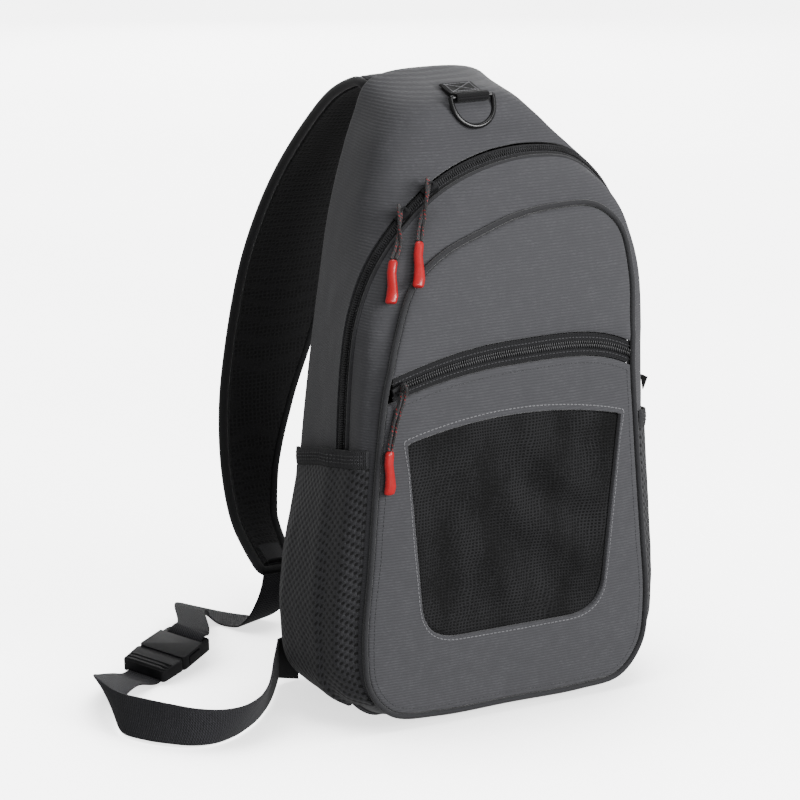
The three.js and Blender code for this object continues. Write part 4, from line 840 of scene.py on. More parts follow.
def between(rings, counts):
    """Rings between the given ones on a smooth curve, with a number of steps for each span."""
    rings = [2 * rings[0] - rings[1], *rings, 2 * rings[-1] - rings[-2]]
    out = []
    for i, count in enumerate(counts):
        p0, p1, p2, p3 = rings[i:i + 4]
        for w in np.arange(count) / count:
            bend = 2 * p0 - 5 * p1 + 4 * p2 - p3
            out.append(0.5 * (2 * p1 + (p2 - p0) * w + bend * w ** 2 + (3 * p1 - p0 - 3 * p2 + p3) * w ** 3))
    out.append(rings[-2])
    return np.array(out)


def folded(grid, wrap, soft, amount, size, stretch=(1, 1, 1), seed=0.0, flip=False):
    """The grid with soft folds along its normals. soft is how free each row is, from 0 to 1."""
    normal = grid_normals(grid, wrap) * (-1 if flip else 1)
    wide = rough(grid * np.array(stretch), size, seed)
    small = rough(grid * np.array(stretch), size * 0.32, seed + 7)
    lift = amount * (wide + 0.35 * small)
    return grid + normal * (lift * np.asarray(soft).reshape(len(grid), -1))[..., None]


def shell():
    """The grey cup of sides, top, base and back, open toward the front."""
    side = between([mouth, shoulder, shift(back, -BACK_ROUND)], [14, 12])
    corner = []
    for a in np.linspace(0, math.pi / 2, 6)[1:]:
        moved = shift(back, BACK_ROUND * (math.sin(a) - 1))
        corner.append(inset(moved, BACK_ROUND * (1 - math.cos(a))))
    middle = corner[-1].mean(axis=0)
    panel = [middle + (corner[-1] - middle) * share for share in (0.96, 0.85, 0.6, 0.35, 0.1)]
    grid = np.concatenate([side, corner, panel])
    free = np.concatenate([
        np.sin(np.linspace(0, 1, len(side)) * math.pi) ** 0.6, np.zeros(len(corner) + len(panel)),
    ])
    grid = folded(grid, True, free, amount=1.9, size=62, stretch=(1, 1, 0.8))
    grid[..., 2] = np.maximum(grid[..., 2], 0)
    return sheet("shell", grid, CLOTH, wrap=True, pole=True)


def gusset():
    """The side band between the two pipings."""
    near = shift(front, max(FRONT_PIPING, CLOTH) + SEAM)
    far = shift(outer, -OUTER_PIPING - SEAM)
    grid = between([near, gusset_middle, far], [9, 9])
    free = np.sin(np.linspace(0, 1, len(grid)) * math.pi) ** 0.7
    grid = folded(grid, True, free, amount=1.1, size=38, stretch=(1, 1, 0.6), seed=3)
    grid[..., 2] = np.maximum(grid[..., 2], 0)
    return sheet("gusset", grid, CLOTH, wrap=True)


place(shell(), GREY_CLOTH, "grey_fabric", replaces=["main_shell"])
place(gusset(), GREY_CLOTH, "grey_fabric", replaces=["front_gusset"])
for word, line, radius in (("front", front, FRONT_PIPING), ("outer", outer, OUTER_PIPING)):
    piping = tube("piping_" + word, line, radius, closed=True, up=(0, 1, 0))
    place(piping, CHARCOAL, "black_piping", replaces=[word + "_piping"])


def pad():
    near = BACK_Y + SEAM
    # Its rounded edge, as share of the outline and lift, and then its level face
    rows = [(1, 0.4), (1.005, 2.6), (0.99, 5.4), (0.965, 7.4), (0.92, 8.6)]
    rows += [(share, PAD_THICKNESS) for share in np.linspace(0.88, 0.04, 26)]
    grid = []
    for share, lift in rows:
        loop = back.copy()
        loop[:, 0] *= PAD_SHARE * share
        loop[:, 2] = PAD_CENTRE + (loop[:, 2] - PAD_CENTRE) * PAD_SHARE * share
        loop[:, 1] = near + lift
        grid.append(loop)
    grid = np.array(grid)
    groove_width, groove_depth, groove_sag = 5, 3.6, 10
    for level in (110, 205, 300):
        off = grid[..., 2] - level + groove_sag * (grid[..., 0] / 90) ** 2
        groove = np.exp(-(off / groove_width) ** 2)
        grid[..., 1] -= groove_depth * groove * ease((grid[..., 1] - near) / 8)
    grid[..., 1] += 0.5 * rough(grid, 30, 5) * ease((grid[..., 1] - near) / 8)
    grid[..., 1] = np.minimum(grid[..., 1], near + PAD_THICKNESS + 0.6)
    base = grid.copy()
    base[..., 1] = near
    return slab("pad_back", grid, base, wrap=True, pole=True)


pad_back = place(pad(), SPACER, "black_mesh", replaces=["back_pad"])


# Front panels

def zip_level(x):
    """Height of the pocket zip's middle line, which drops toward both ends."""
    u = np.asarray(x, float) / (BODY_HALF * 0.84)
    power = np.where(u < 0, 2, 4)
    return ZIP_LEVEL + ZIP_TILT * u - ZIP_END_DROP * np.abs(u) ** power


def crossing(side, offset):
    """The station row at which the panels' edge meets the pocket zip's edge."""
    low, high = (5.5, 9) if side < 0 else (18.5, 15)
    for _ in range(40):
        mid = (low + high) / 2
        p = at_row(panel_edge, mid)
        if p[2] < zip_level(p[0]) + offset:
            low = mid
        else:
            high = mid
    return high


def on_front(x, z, lift):
    """Points at a lift in front of the front plane."""
    x, z, lift = np.broadcast_arrays(np.asarray(x, float), z, lift)
    return np.stack([x, front_plane(z) - lift, z], axis=-1)


def inside(polygon, x, z):
    """Whether a level line to the right of the point meets the polygon an odd number of times."""
    a, b = polygon, np.roll(polygon, 1, axis=0)
    crosses = (a[:, 1] > z) != (b[:, 1] > z)
    rise = np.where(b[:, 1] == a[:, 1], 1e-9, b[:, 1] - a[:, 1])
    met = (b[:, 0] - a[:, 0]) * (z - a[:, 1]) / rise + a[:, 0]
    return bool(np.count_nonzero(crosses & (x < met)) % 2)


ZIP_EDGE = ZIP_WIDTH / 2 + SEAM


def upper_panel():
    first, last = crossing(-1, ZIP_EDGE), crossing(1, ZIP_EDGE)
    left, right = at_row(panel_edge, first)[0], at_row(panel_edge, last)[0]
    across = np.linspace(0, 1, 90)
    swell_across = np.sqrt(np.maximum(0, 1 - (2 * across - 1) ** 2))
    top = at_row(panel_edge, first + (last - first) * across)
    foot_x = left + (right - left) * across
    foot_z = zip_level(foot_x) + ZIP_EDGE
    rows = []
    for up in (1 - np.cos(np.linspace(0, math.pi, 30))) / 2:
        x = foot_x + (top[:, 0] - foot_x) * up
        z = foot_z + (top[:, 2] - foot_z) * up
        swell_up = math.sqrt(max(0, 1 - (2 * up - 1) ** 2))
        rows.append(on_front(x, z, PANEL_PUFF * swell_across * swell_up))
    grid = np.array(rows)
    free = np.sin(np.linspace(0, math.pi, 30))
    grid = folded(grid, False, free, amount=0.8, size=45, seed=11)
    return slab("panel_upper", grid, shift(grid, CLOTH))


def quadratic(a, b, c, count=8):
    w = np.linspace(0, 1, count + 1)[1:, None]
    a, b, c = (np.array(p, float) for p in (a, b, c))
    return a * (1 - w) ** 2 + 2 * b * w * (1 - w) + c * w ** 2


def window_shape():
    low, side, top, corner = WINDOW["low"], WINDOW["side"], WINDOW["top"], WINDOW["corner"]
    half = WINDOW["bottom"]
    outline = [
        [(-half + corner, low)], [(half - corner, low)],
        quadratic((half - corner, low), (half, low), (half + 1.5, low + corner)),
        [(top, side)],
        quadratic((top, side), (0, side + 2 * WINDOW["crown"]), (-top, side), 16),
        [(-half - 1.5, low + corner)],
        quadratic((-half - 1.5, low + corner), (-half, low), (-half + corner, low)),
    ]
    return np.concatenate(outline) + np.array([WINDOW_CENTRE[0], 0])


angles = 2 * math.pi * np.arange(STEPS) / STEPS
for side in (-1, 1):
    end = at_row(panel_edge, crossing(side, -ZIP_EDGE))
    turn = math.atan2(WINDOW_CENTRE[0] - end[0], WINDOW_CENTRE[1] - end[2]) % (2 * math.pi)
    angles[int(round(turn / (2 * math.pi) * STEPS)) % STEPS] = turn


def rays_to(is_inside):
    """How far a shape reaches from the window's centre at each of the angles."""
    out = []
    for angle in angles:
        near, far = 0.0, 3.0 * BODY_HALF
        for _ in range(24):
            mid = (near + far) / 2
            x, z = WINDOW_CENTRE[0] - mid * math.sin(angle), WINDOW_CENTRE[1] - mid * math.cos(angle)
            if is_inside(x, z):
                near = mid
            else:
                far = mid
        out.append((WINDOW_CENTRE[0] - near * math.sin(angle), WINDOW_CENTRE[1] - near * math.cos(angle)))
    return np.array(out)


panel_polygon = panel_edge[:, [0, 2]]
window_polygon = window_shape()
window_edge = rays_to(lambda x, z: inside(window_polygon, x, z))
panel_rim = rays_to(lambda x, z: z < zip_level(x) - ZIP_EDGE and inside(panel_polygon, x, z))


def lower_panel():
    rows = []
    shares = (1 - np.cos(np.linspace(0, math.pi, 20))) / 2
    for share in shares:
        flat = panel_rim + (window_edge - panel_rim) * share
        rows.append(on_front(flat[:, 0], flat[:, 1], PANEL_PUFF * math.sqrt(share)))
    free = np.sin(shares * math.pi) ** 0.7
    grid = folded(np.array(rows), True, free, amount=0.7, size=34, seed=17, flip=True)
    rim = grid[-1].copy()
    rim[:, 1] += 0.9
    inward = unit(np.array([WINDOW_CENTRE[0], 0, WINDOW_CENTRE[1]]) - rim * np.array([1, 0, 1]))
    grid = np.concatenate([grid, [rim + inward * 0.8]])
    return slab("panel_lower", grid, shift(grid, CLOTH), wrap=True)


def window():
    centre = np.array(WINDOW_CENTRE, float)
    behind = CLOTH + SEAM
    hem = 1 + MESH_HEM / WINDOW["bottom"]
    shares = np.concatenate([[hem, 1.0], np.linspace(0.97, 0.02, 40)])
    ripple_depth, sink = 2.2, 2.4
    rows = []
    for share in shares:
        flat = centre + (window_edge - centre) * share
        puff = 0.72 if share >= 1 else 1
        free = ease((1 - share) / 0.35)
        slant = flat[:, 0] * 0.52 + flat[:, 1] * 0.85
        ripple = np.sin(slant / 9.5 + 1.6 * np.sin(flat[:, 0] / 37) + 0.8 * np.sin(flat[:, 1] / 23))
        fade = 0.35 + 0.65 * ease((flat[:, 0] + 60) / 110)
        lift = PANEL_PUFF * puff - behind + free * (ripple_depth * ripple * fade - sink)
        rows.append(on_front(flat[:, 0], flat[:, 1], lift))
    grid = np.array(rows)
    grid[..., 1] += 1.5 * rough(grid, 26, 23) * ease((1 - shares) / 0.3)[:, None]
    return slab("window_mesh", grid, shift(grid, MESH_WALL), wrap=True, pole=True)


place(upper_panel(), GREY_CLOTH, "grey_fabric", replaces=["front_upper_panel"])
panel_low = place(lower_panel(), GREY_CLOTH, "grey_fabric", replaces=["front_lower_panel"])
place(window(), WINDOW_MESH, "black_mesh", replaces=["mesh_window"])


# Seams: short stitches laid on a piece

def capsules(name, centres, along, normal, length, radius, flat=0.7):
    """Short rounded bars, one at each centre."""
    centres, along, normal = (np.asarray(a, float) for a in (centres, along, normal))
    side = unit(np.cross(along, normal))
    normal = unit(np.cross(side, along))
    rings = ((-0.5, 0.4), (-0.34, 1.0), (0.34, 1.0), (0.5, 0.4))
    sides = 6
    points = []
    for place_share, size in rings:
        for k in range(sides):
            a = 2 * math.pi * k / sides
            points.append(
                centres + along * length * place_share
                + side * radius * size * math.cos(a) + normal * radius * flat * size * math.sin(a)
            )
    points = np.stack(points, axis=1)
    one = rings_of_faces(len(rings), sides)
    faces = [tuple(i * len(rings) * sides + k for k in face) for i in range(len(centres)) for face in one]
    return make(name, points.reshape(-1, 3), faces)


def sewn(name, on, lines, pitch=3.2, length=2.3, radius=0.4, lift=0.15):
    """Stitches on a piece, along lines that run close to it."""
    tree = BVHTree.FromObject(on, bpy.context.evaluated_depsgraph_get())
    centres, along, normals = [], [], []
    for line in lines:
        line = even(line, pitch)
        direction = unit(np.gradient(line, axis=0))
        for p, d in zip(line, direction):
            hit, normal, _, _ = tree.find_nearest(Vector(p * MM))
            if hit is None:
                continue
            centres.append(np.array(hit) / MM + np.array(normal) * lift)
            along.append(d)
            normals.append(np.array(normal))
    return capsules(name, centres, along, normals, length, radius)


def beside(edge, other, distance):
    """A closed line over the lower panel, at a distance from one of its edges toward the other."""
    out = edge + unit(other - edge) * distance
    line = on_front(out[:, 0], out[:, 1], PANEL_PUFF + 3)
    return np.concatenate([line, line[:1]])


bpy.context.view_layer.update()
height_share = ease((window_edge[:, 1] - WINDOW["side"] + 25) / 22)[:, None]
round_window = beside(window_edge, panel_rim, 1.9 + 2.3 * height_share)
place(sewn("stitch_window", panel_low, [round_window], radius=0.36), THREAD_LIGHT, "grey_fabric")
in_rim = beside(panel_rim, window_edge, 3.2)
place(sewn("stitch_panel_low", panel_low, [in_rim], radius=0.32), THREAD_GREY, "grey_fabric")


# Zips

def zip_coil(name, near, far, step, half, height, radius):
    """Teeth of a coil between two edges, on both halves in turn."""
    middle = (near + far) / 2
    side = unit(far - near)
    normal = unit(np.cross(unit(np.gradient(middle, axis=0)), side))
    middle, side, normal = resample(step, middle, side, normal)
    tangent = unit(np.gradient(middle, axis=0))
    pieces = []
    for sign in (-1, 1):
        start = sign * 0.25 * step
        centres = middle + tangent * start + side * sign * half * 0.5 + normal * (height - radius)
        lean = unit(side + tangent * 0.22 * sign)
        pieces.append(capsules(name, centres, lean, normal, half * 1.25, radius, 1.0))
    return join(name, pieces)


def tape(name, near, far, thickness, swell, step=2.4):
    """A zip's two tapes, with a low ridge under the coil."""
    middle = (near + far) / 2
    middle, near, far = resample(step, middle, near, far)
    across = np.array([0, 0.08, 0.2, 0.32, 0.4, 0.46, 0.5, 0.54, 0.6, 0.68, 0.8, 0.92, 1])
    ridge = swell * np.exp(-((across - 0.5) / 0.09) ** 2)
    grid = near[None] + (far - near)[None] * across[:, None, None]
    normal = grid_normals(grid, False)
    top = grid + normal * ridge[:, None, None]
    return slab(name, top, grid - normal * thickness)


def closure(word, near, far, coil, rails, stitch):
    """A zip's tapes, its coil, and the two rows of stitches that hold the tapes."""
    cloth = place(
        tape("zip_" + word, near, far, TAPE_THICKNESS, 0.5), TAPE, "dark_fabric", replaces=[word + "_zip"],
    )
    place(zip_coil("zip_" + word + "_coil", near, far, **coil), COIL, "zip_coil")
    lines = [near + (far - near) * share for share in rails]
    place(sewn("stitch_zip_" + word, cloth, lines, **stitch), THREAD_GREY, "dark_fabric")


def toward(a, b, amount):
    return a + unit(b - a) * amount


zip_front = toward(outer, mouth, OUTER_PIPING + 2 * SEAM)
zip_back = toward(mouth, outer, SEAM + 1.5 * TAPE_THICKNESS)
zip_span = np.arange(int(5.5 * PER_STATION), int(18.5 * PER_STATION) + 1) % STEPS
main_near, main_far = zip_front[zip_span], zip_back[zip_span]
closure(
    "main", main_near, main_far, {"step": 1.7, "half": 2.2, "height": 1.7, "radius": 0.62},
    (0.24, 0.78), {"pitch": 2.6, "length": 1.9, "radius": 0.3},
)

zip_x = np.linspace(-95.6, 97.6, 110)
zip_half = ZIP_WIDTH / 2 - SEAM
pocket_near, pocket_far = (on_front(zip_x, zip_level(zip_x) + side * zip_half, -0.5) for side in (-1, 1))
closure(
    "pocket", pocket_near, pocket_far, {"step": 1.8, "half": 2.5, "height": 1.8, "radius": 0.66},
    (0.2, 0.8), {"pitch": 2.8, "length": 2.0, "radius": 0.32},
)

for name in ("slider_main_upper", "slider_main_lower", "slider_pocket"):
    place(copy_node(name, name + "_body", 0.3), PLASTIC, "black_plastic", replaces=[name])


# Side pockets

def table(at, pairs):
    return np.interp(at, pairs[0], pairs[1])


def pocket_grid(side, ups, depths, lift):
    """Points of a side pocket, a row for each share of its height, bulging from the body's side."""
    share = (depths - POCKET_FRONT) / (POCKET_BACK - POCKET_FRONT)
    hem = table(share, HEM_ROWS)
    rows = []
    for up in ups:
        station = POCKET_FOOT + (hem - POCKET_FOOT) * up
        points = np.array([
            skin_point(row if side < 0 else STATIONS - row, depth) for row, depth in zip(station, depths)
        ])
        bulge = POCKET_BULGE * table(up, BULGE_UP) * table(share, BULGE_ALONG)
        over = (OUTER_PIPING + SEAM) * np.minimum(1, 8 * share * (1 - share))
        points[:, 0] += side * (POCKET_LIFT + over + bulge + lift)
        rows.append(points)
    return np.array(rows)


def soften(grid, times):
    """Evens out a grid inside its edges."""
    for _ in range(times):
        inner = grid.copy()
        inner[1:-1] = (grid[:-2] + 2 * grid[1:-1] + grid[2:]) / 4
        inner[:, 1:-1] = (inner[:, :-2] + 2 * inner[:, 1:-1] + inner[:, 2:]) / 4
        grid = inner
    return grid


def pocket(side, word):
    depths = np.linspace(POCKET_FRONT, POCKET_BACK, 64)
    ups = np.linspace(0, 1, 54)
    grid = soften(pocket_grid(side, ups, depths, POCKET_WALL), 6)
    share = np.linspace(0, 1, len(depths))
    free = np.sin(ups * math.pi)[:, None] ** 0.6 * np.sin(share * math.pi)[None] ** 0.6
    crumple = 1.5 * rough(grid * np.array([1, 1, 0.35]), 22, 31) + 0.6 * rough(grid, 12, 37)
    grid[..., 0] += side * free * crumple
    gather = np.exp(-((share[None] - 0.1) / 0.07) ** 2) * ease((0.5 - ups[:, None]) / 0.4)
    grid[..., 0] += side * gather * 1.6 * np.sin(ups * 21)[:, None]
    back_side = grid - np.array([side * POCKET_WALL, 0, 0])
    return slab("pocket_" + word, grid, back_side)


def elastic(side, word):
    depths = np.linspace(POCKET_FRONT, POCKET_BACK, 120)
    low = pocket_grid(side, [1], depths, ELASTIC_THICKNESS)[0]
    for _ in range(12):
        low[1:-1] = (low[:-2] + 2 * low[1:-1] + low[2:]) / 4
    share = np.linspace(0, 1, len(depths))
    ruffle = 0.35 * np.sin(share * 150) * np.sin(share * math.pi)
    rows = []
    for up in np.linspace(0, 1, 11):
        row = low + np.array([0, 0, SEAM + up * ELASTIC_HEIGHT])
        row[:, 0] += side * (ruffle * math.sin(up * math.pi) + 0.5 * math.sin(up * math.pi))
        rows.append(row)
    grid = np.array(rows)
    back_side = grid - np.array([side * ELASTIC_THICKNESS, 0, 0])
    return slab("elastic_" + word, grid, back_side)


for side, word in ((-1, "left"), (1, "right")):
    place(pocket(side, word), SIDE_MESH, "black_mesh", replaces=["side_pocket_" + word])
    band = place(elastic(side, word), ELASTIC, "black_elastic", replaces=["pocket_elastic_" + word])
    depths = np.linspace(POCKET_FRONT + 0.02, POCKET_BACK - 0.02, 60)
    hem = pocket_grid(side, [1], depths, ELASTIC_THICKNESS)[0]
    lines = [hem + np.array([side * 2, 0, SEAM + ELASTIC_HEIGHT * share]) for share in (0.3, 0.5, 0.7)]
    stitches = sewn("stitch_elastic_" + word, band, lines, pitch=2.4, length=1.7, radius=0.34)
    place(stitches, THREAD_GREY, "black_elastic")


# Ribbons of webbing

def ribbon(name, places, widths, steps, width=WEB_WIDTH, thickness=WEB_THICKNESS):
    """A tape through places, with its width along the widths' directions and thinner at its edges."""
    middle = smooth(places, steps + 1)
    across = unit(smooth(widths, steps + 1))
    normal = unit(np.cross(across, unit(np.gradient(middle, axis=0))))
    shares = np.array([-0.5, -0.47, -0.4, -0.2, 0, 0.2, 0.4, 0.47, 0.5])
    thick = 0.5 * thickness * np.array([0.55, 0.9, 1, 1, 1, 1, 1, 0.9, 0.55])
    flat = middle[:, None] + across[:, None] * (shares * width)[None, :, None]
    lift = normal[:, None] * thick[None, :, None]
    return slab(name, flat + lift, flat - lift)


def web_place(row):
    return (-row[0] * WEB_REACH, row[1] * WEB_BACK, row[2] * WEB_RISE)


def web_width(row):
    """Direction of the webbing's width."""
    turn, stand = math.radians(row[3]), math.radians(row[4])
    return (math.cos(turn) * math.cos(stand), math.sin(turn) * math.cos(stand), math.sin(stand))


roll, tilt, turn = (math.radians(a) for a in BUCKLE_ANGLES)
buckle_turn = np.array(Euler((roll, tilt, turn), "XYZ").to_matrix())
buckle_middle = np.array(web_place(BUCKLE_PLACE))
male_end = -(MALE_LENGTH + FEMALE_LENGTH) / 2
female_end = -male_end


def on_buckle(x, z):
    return tuple(buckle_middle + buckle_turn @ np.array([x, 0, z]))


buckle_across = tuple(buckle_turn @ np.array([0, 1, 0]))
over_bar = BUCKLE_THICKNESS / 2 - BUCKLE_WALL + WEB_THICKNESS
into_slot = BAR_LENGTH + SLOT_LENGTH / 2
upper_loop = [
    on_buckle(female_end + 4, over_bar - 0.5), on_buckle(female_end - 1, over_bar),
    on_buckle(female_end - into_slot + 0.8, over_bar - 1.2), on_buckle(female_end - into_slot, -2),
]
under = -BUCKLE_THICKNESS / 2 + BUCKLE_WALL / 2
lower_loop = [
    on_buckle(male_end + into_slot + 0.1, 2), on_buckle(male_end + into_slot - 0.6, under + 2),
    on_buckle(male_end + 1.5, under), on_buckle(male_end - 5, under + 0.4),
]
buckle_widths = [buckle_across] * 4
web_upper = ribbon(
    "web_upper", [web_place(r) for r in UPPER_WEB] + upper_loop,
    [web_width(r) for r in UPPER_WEB] + buckle_widths, 110,
)
web_lower = ribbon(
    "web_lower", lower_loop + [web_place(r) for r in LOWER_WEB],
    buckle_widths + [web_width(r) for r in LOWER_WEB], 150,
)
place(web_upper, WEBBING, "black_webbing", replaces=["webbing_upper"])
place(web_lower, WEBBING, "black_webbing", replaces=["webbing_lower"])


def anchor():
    end, before = (np.array(web_place(LOWER_WEB[k])) for k in (-1, -2))
    start = end + unit(end - before) * (SEAM + ANCHOR_THICKNESS / 2)
    edge = at_row(shift(back, -BACK_ROUND), 4)
    sewn_at = np.array([
        edge[0] + ANCHOR_THICKNESS / 2 - 2 * SEAM, edge[1] + ANCHOR_THICKNESS, ANCHOR_SPREAD / 2 + 4 * SEAM,
    ])
    normal = unit(np.cross(sewn_at - start, np.array([0, 0, 1.0])))
    grid = []
    for share in np.linspace(0, 1, 10):
        place_at = start + (sewn_at - start) * share
        half = WEB_WIDTH / 2 + (ANCHOR_SPREAD / 2 - WEB_WIDTH / 2) * share
        ups = np.linspace(-1, 1, 14)
        grid.append(place_at + np.stack([0 * ups, 0 * ups, ups * half], axis=1))
    grid = np.array(grid)
    half = normal * ANCHOR_THICKNESS / 2
    return slab("anchor", grid + half, grid - half)


place(anchor(), BLACK_CLOTH, "dark_fabric", replaces=["anchor_tab"])


# Buckle

def bars(name, spots, length, radius, flat):
    centres = [on_buckle(x, z) for x, z in spots]
    along = [buckle_across] * len(spots)
    up = [tuple(buckle_turn @ np.array([0, 0, 1]))] * len(spots)
    return capsules(name, centres, along, up, length, radius, flat)


for node, name in (("buckle_female", "clasp_female"), ("buckle_male", "clasp_male")):
    place(copy_node(node, name, 0.7, segments=3), PLASTIC, "black_plastic", replaces=[node])
top_of_male = BUCKLE_THICKNESS / 2 - BUCKLE_WALL / 2
ladder = [(male_end + k, top_of_male + 0.2) for k in (2.6, 6.6, 10.6)]
place(bars("clasp_ribs", ladder, 37, 1.9, 0.85), PLASTIC, "black_plastic")


# D-ring and its tab

tab_high = at_row(shift(back, -BACK_ROUND), 13)
tab_low = at_row(shoulder, 13)
tab_along = tab_low - tab_high
tab_along[0] = 0
tab_along = unit(tab_along)
tab_across = np.array([-1.0, 0, 0])
tab_normal = np.cross(tab_across, tab_along)
tab_start = tab_low - tab_along * TAB_LENGTH
bar_lift = BAR_RADIUS + RUNNING_GAP + TAB_THICKNESS + TAB_LIFT


def on_tab(x, y, z):
    """A place by its distance across the tab, along it and above it."""
    return tab_start + tab_across * x + tab_along * y + tab_normal * z


def tab():
    low = TAB_LIFT + TAB_THICKNESS / 2
    high = low + TAB_THICKNESS
    reach = BAR_RADIUS + RUNNING_GAP + TAB_THICKNESS / 2
    path = [(-0.5, high), (6, high + 0.1), (12, high + 0.2), (17, high + 0.9), (20.5, high + 2.4)]
    for degrees in (70, 30, -10, -50, -85):
        a = math.radians(degrees)
        path.append((TAB_LENGTH + reach * math.cos(a), bar_lift + reach * math.sin(a)))
    path += [(18, low), (10, low), (3, low)]
    places = [on_tab(0, y, z) for y, z in path]
    # A curve needs points that differ, so each direction is a little off the one before
    widths = [tuple(tab_across + 1e-3 * k) for k in range(len(places))]
    return ribbon("ring_tab", places, widths, 90, TAB_WIDTH, TAB_THICKNESS)


def d_ring():
    half = (RING_WIDTH - RING_WIRE) / 2
    drop = RING_DROP - RING_WIRE / 2
    hang = math.radians(RING_HANG)
    bow = []
    for angle in np.linspace(0, math.pi, 41):
        reach = drop * max(0.0, math.sin(angle)) ** 0.8
        bow.append(on_tab(
            half * math.cos(angle), TAB_LENGTH + reach * math.cos(hang), bar_lift - reach * math.sin(hang),
        ))
    face = tab_along * math.sin(hang) + tab_normal * math.cos(hang)
    arc = tube("ring_bow", even(bow, 1.6), RING_WIRE / 2, 16, up=face)
    ends = [on_tab(side * half, TAB_LENGTH, bar_lift) for side in (1, -1)]
    bar = tube("ring_bar", even(ends, 3), BAR_RADIUS, 16, up=face)
    return join("ring", [arc, bar])


ring_tab = place(tab(), SHADED_TAB_WEBBING, "black_webbing", replaces=["d_ring_tab"])
place(d_ring(), METAL, "black_metal", "d_ring", replaces=["d_ring"])
box_half, box_low, box_high = TAB_WIDTH / 2 - 3, 1.5, 14.5
corners = [(-box_half, box_low), (box_half, box_low), (box_half, box_high), (-box_half, box_high)]
over = [on_tab(x, y, 9) for x, y in corners]
lines = [[over[a], over[b]] for a, b in ((0, 1), (1, 2), (2, 3), (3, 0), (0, 2), (1, 3))]
stitches = sewn("stitch_tab", ring_tab, lines, pitch=2.2, length=1.8, radius=0.32)
place(stitches, THREAD_LIGHT, "black_webbing")


# Shoulder strap

STRAP_STEPS = 150
strap_points = [(r[0] * BODY_HALF, r[1] * STRAP_REACH, r[2] * STRAP_TOP) for r in STRAP_ROWS]
strap_edge = smooth(strap_points, STRAP_STEPS)
strap_along = unit(np.gradient(strap_edge, axis=0))
strap_place = np.linspace(0, len(STRAP_ROWS) - 1, STRAP_STEPS)
strap_roll = np.radians(np.interp(strap_place, range(len(STRAP_ROWS)), [r[4] for r in STRAP_ROWS]))[:, None]
strap_half = np.interp(strap_place, range(len(STRAP_ROWS)), [r[3] for r in STRAP_ROWS]) * STRAP_HALF
level = unit(np.array([1.0, 0, 0]) - strap_along * strap_along[:, :1])
strap_side = level * np.cos(strap_roll) - np.cross(level, strap_along) * np.sin(strap_roll)
strap_normal = -np.cross(strap_side, strap_along)


def strap_grid(shares, lift, margin):
    """Rows of points across the strap, at shares of its width inside the margins."""
    width = (2 * strap_half - 2 * margin)[:, None] * shares[None]
    grid = strap_edge[:, None] + strap_side[:, None] * (margin + width)[..., None]
    return grid + strap_normal[:, None] * np.broadcast_to(lift, width.shape)[..., None]


strap_margin = 2 * BINDING_RADIUS + SEAM
strap_shares = (1 - np.cos(np.linspace(0, math.pi, 21))) / 2
strap_swell = np.sin(math.pi * strap_shares)
crown = STRAP_CROWN * strap_swell


def strap_inside():
    """The mesh that lines the strap, with slight folds."""
    fold = 0.9 * rough(strap_grid(strap_shares, 0, strap_margin), 40, 41) * strap_swell[None]
    lift = crown + SEAM + COVER_THICKNESS + np.maximum(fold, -0.4)
    top = strap_grid(strap_shares, lift, strap_margin)
    return slab("strap_inside", top, strap_grid(strap_shares, crown + SEAM, strap_margin))


def strap_underside():
    """The padded body's other face, fuller in its middle and slightly dimpled."""
    depth = STRAP_PAD * (0.45 + 0.55 * strap_swell ** 0.5)
    dimple = 0.5 * rough(strap_grid(strap_shares, 0, strap_margin), 24, 43)
    return strap_grid(strap_shares, crown - depth + dimple, strap_margin)


def strap_binding():
    """The rolled edge, down one side, round the foot and up the other."""
    lift = -STRAP_PAD * 0.2
    sides = strap_grid(np.array([0.0, 1.0]), lift, BINDING_RADIUS)
    foot = strap_grid(np.array([0.06, 0.35, 0.65, 0.94]), lift, BINDING_RADIUS)[-1]
    foot = foot + strap_along[-1] * (BINDING_RADIUS + SEAM + 0.8)
    line = np.concatenate([sides[:, 0], foot, sides[::-1, 1]])
    line = even(smooth(even(line, 6), 260), 3)
    return tube("strap_edge", line, BINDING_RADIUS, 14, up=(0.05, -0.35, 0.12))


def strap_patch():
    rows = max(4, int(round(PATCH_LENGTH / line_length(strap_edge) * STRAP_STEPS)))
    across = np.linspace(0.12, 0.88, 12)
    lift = STRAP_CROWN * np.sin(math.pi * across) + 2 * SEAM + COVER_THICKNESS
    top = strap_grid(across, lift + PATCH_THICKNESS + 0.5, strap_margin)[-rows:]
    return slab("strap_patch", top, strap_grid(across, lift, strap_margin)[-rows:])


place(strap_inside(), SPACER, "black_mesh", replaces=["strap_lining"])
strap_low = strap_underside()
strap_body = slab("strap_body", strap_grid(strap_shares, crown, strap_margin), strap_low)
place(strap_body, GREY_CLOTH, "grey_fabric", replaces=["shoulder_strap"])
place(strap_binding(), BLACK_CLOTH, "black_piping", replaces=["strap_binding"])
rails = [strap_low[:, k] - strap_normal * 2 for k in (2, -3)]
stitches = sewn("stitch_strap", strap_body, rails, pitch=3.4, length=2.4, radius=0.35)
place(stitches, THREAD_GREY, "grey_fabric")
place(strap_patch(), CHARCOAL, "dark_fabric", replaces=["strap_end_patch"])

place(copy_node("side_tab_right", "side_tab", 0.25), BLACK_CLOTH, "dark_fabric", replaces=["side_tab_right"])


# Floor and light

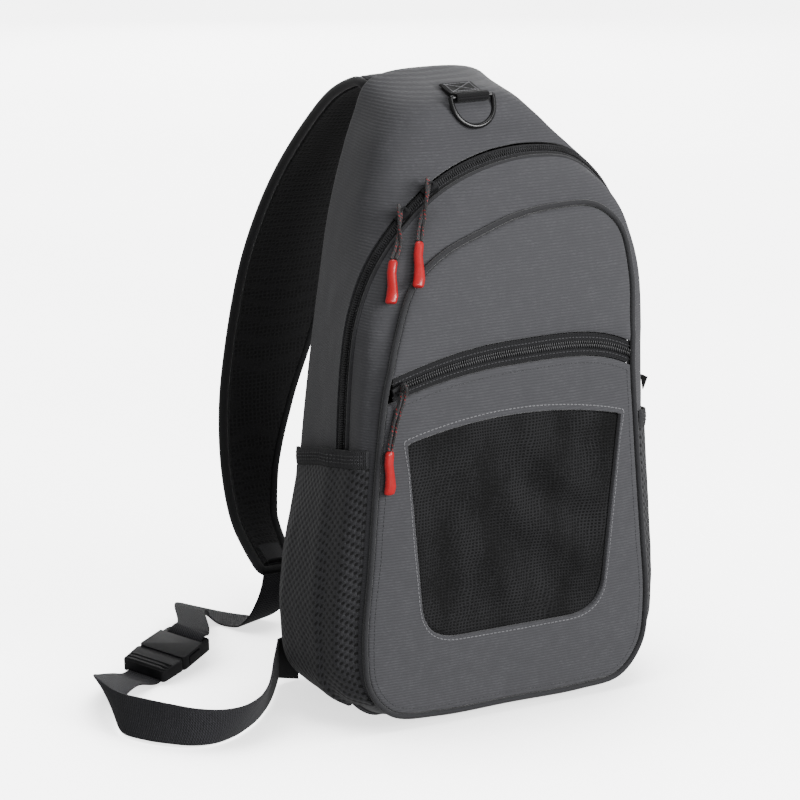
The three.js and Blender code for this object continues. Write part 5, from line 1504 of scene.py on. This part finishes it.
FLOOR_HALF = 40.0                # metres, so that its edge is never in view
SHADOW_REACH = 0.22
FLOOR_GLOW = 5.5

# Lights: place and disc's diameter in metres, and watts
LIGHT_TARGET = (0, 0, 0.2)
LIGHTS = {
    "key": ((1.2, -2.5, 1.3), 1.4, 125),
    "front": ((-0.5, -2.9, 0.8), 1.4, 48),
    "top": ((0.2, 0.2, 2.6), 1.8, 22),
    "back": ((1.2, 2.6, 1.0), 1.8, 30),
}


def floor():
    """A white floor that glows, less where the bag is near, so it is bright with a soft shadow."""
    mesh = bpy.data.meshes.new("floor")
    corners = [(x * FLOOR_HALF, y * FLOOR_HALF, 0) for x, y in ((-1, -1), (1, -1), (1, 1), (-1, 1))]
    mesh.from_pydata(corners, [], [(0, 1, 2, 3)])
    obj = bpy.data.objects.new("floor", mesh)
    bpy.context.scene.collection.objects.link(obj)
    look = Look("floor", 0.9, specular=0.1)
    pale = look.ramp(look.noise(400, 1), 0.2, 0.8, rgb(248, 248, 248, 1), rgb(252, 252, 252, 1))
    look.colour(pale)
    near = look.node("AmbientOcclusion", samples=8)
    near.inputs["Distance"].default_value = SHADOW_REACH
    shadow = look.ramp(near.outputs["AO"], 0.35, 1.0, rgb(150, 150, 150, 1), pale)
    look.link(shadow, look.shader.inputs["Emission Color"])
    look.shader.inputs["Emission Strength"].default_value = FLOOR_GLOW
    obj.visible_diffuse = False
    obj.visible_glossy = False
    obj.data.materials.append(look.material)


def light(name, place_at, size, power):
    data = bpy.data.lights.new(name, "AREA")
    data.shape = "DISK"
    data.size = size
    data.energy = power
    obj = bpy.data.objects.new(name, data)
    obj.location = place_at
    obj.rotation_euler = (Vector(LIGHT_TARGET) - Vector(place_at)).to_track_quat("-Z", "Y").to_euler()
    bpy.context.scene.collection.objects.link(obj)


floor()
for name, settings in LIGHTS.items():
    light(name, *settings)
world = bpy.data.worlds.new("studio")
world.use_nodes = True
world.node_tree.nodes["Background"].inputs[0].default_value = (1, 1, 1, 1)
world.node_tree.nodes["Background"].inputs[1].default_value = 0.42
bpy.context.scene.world = world
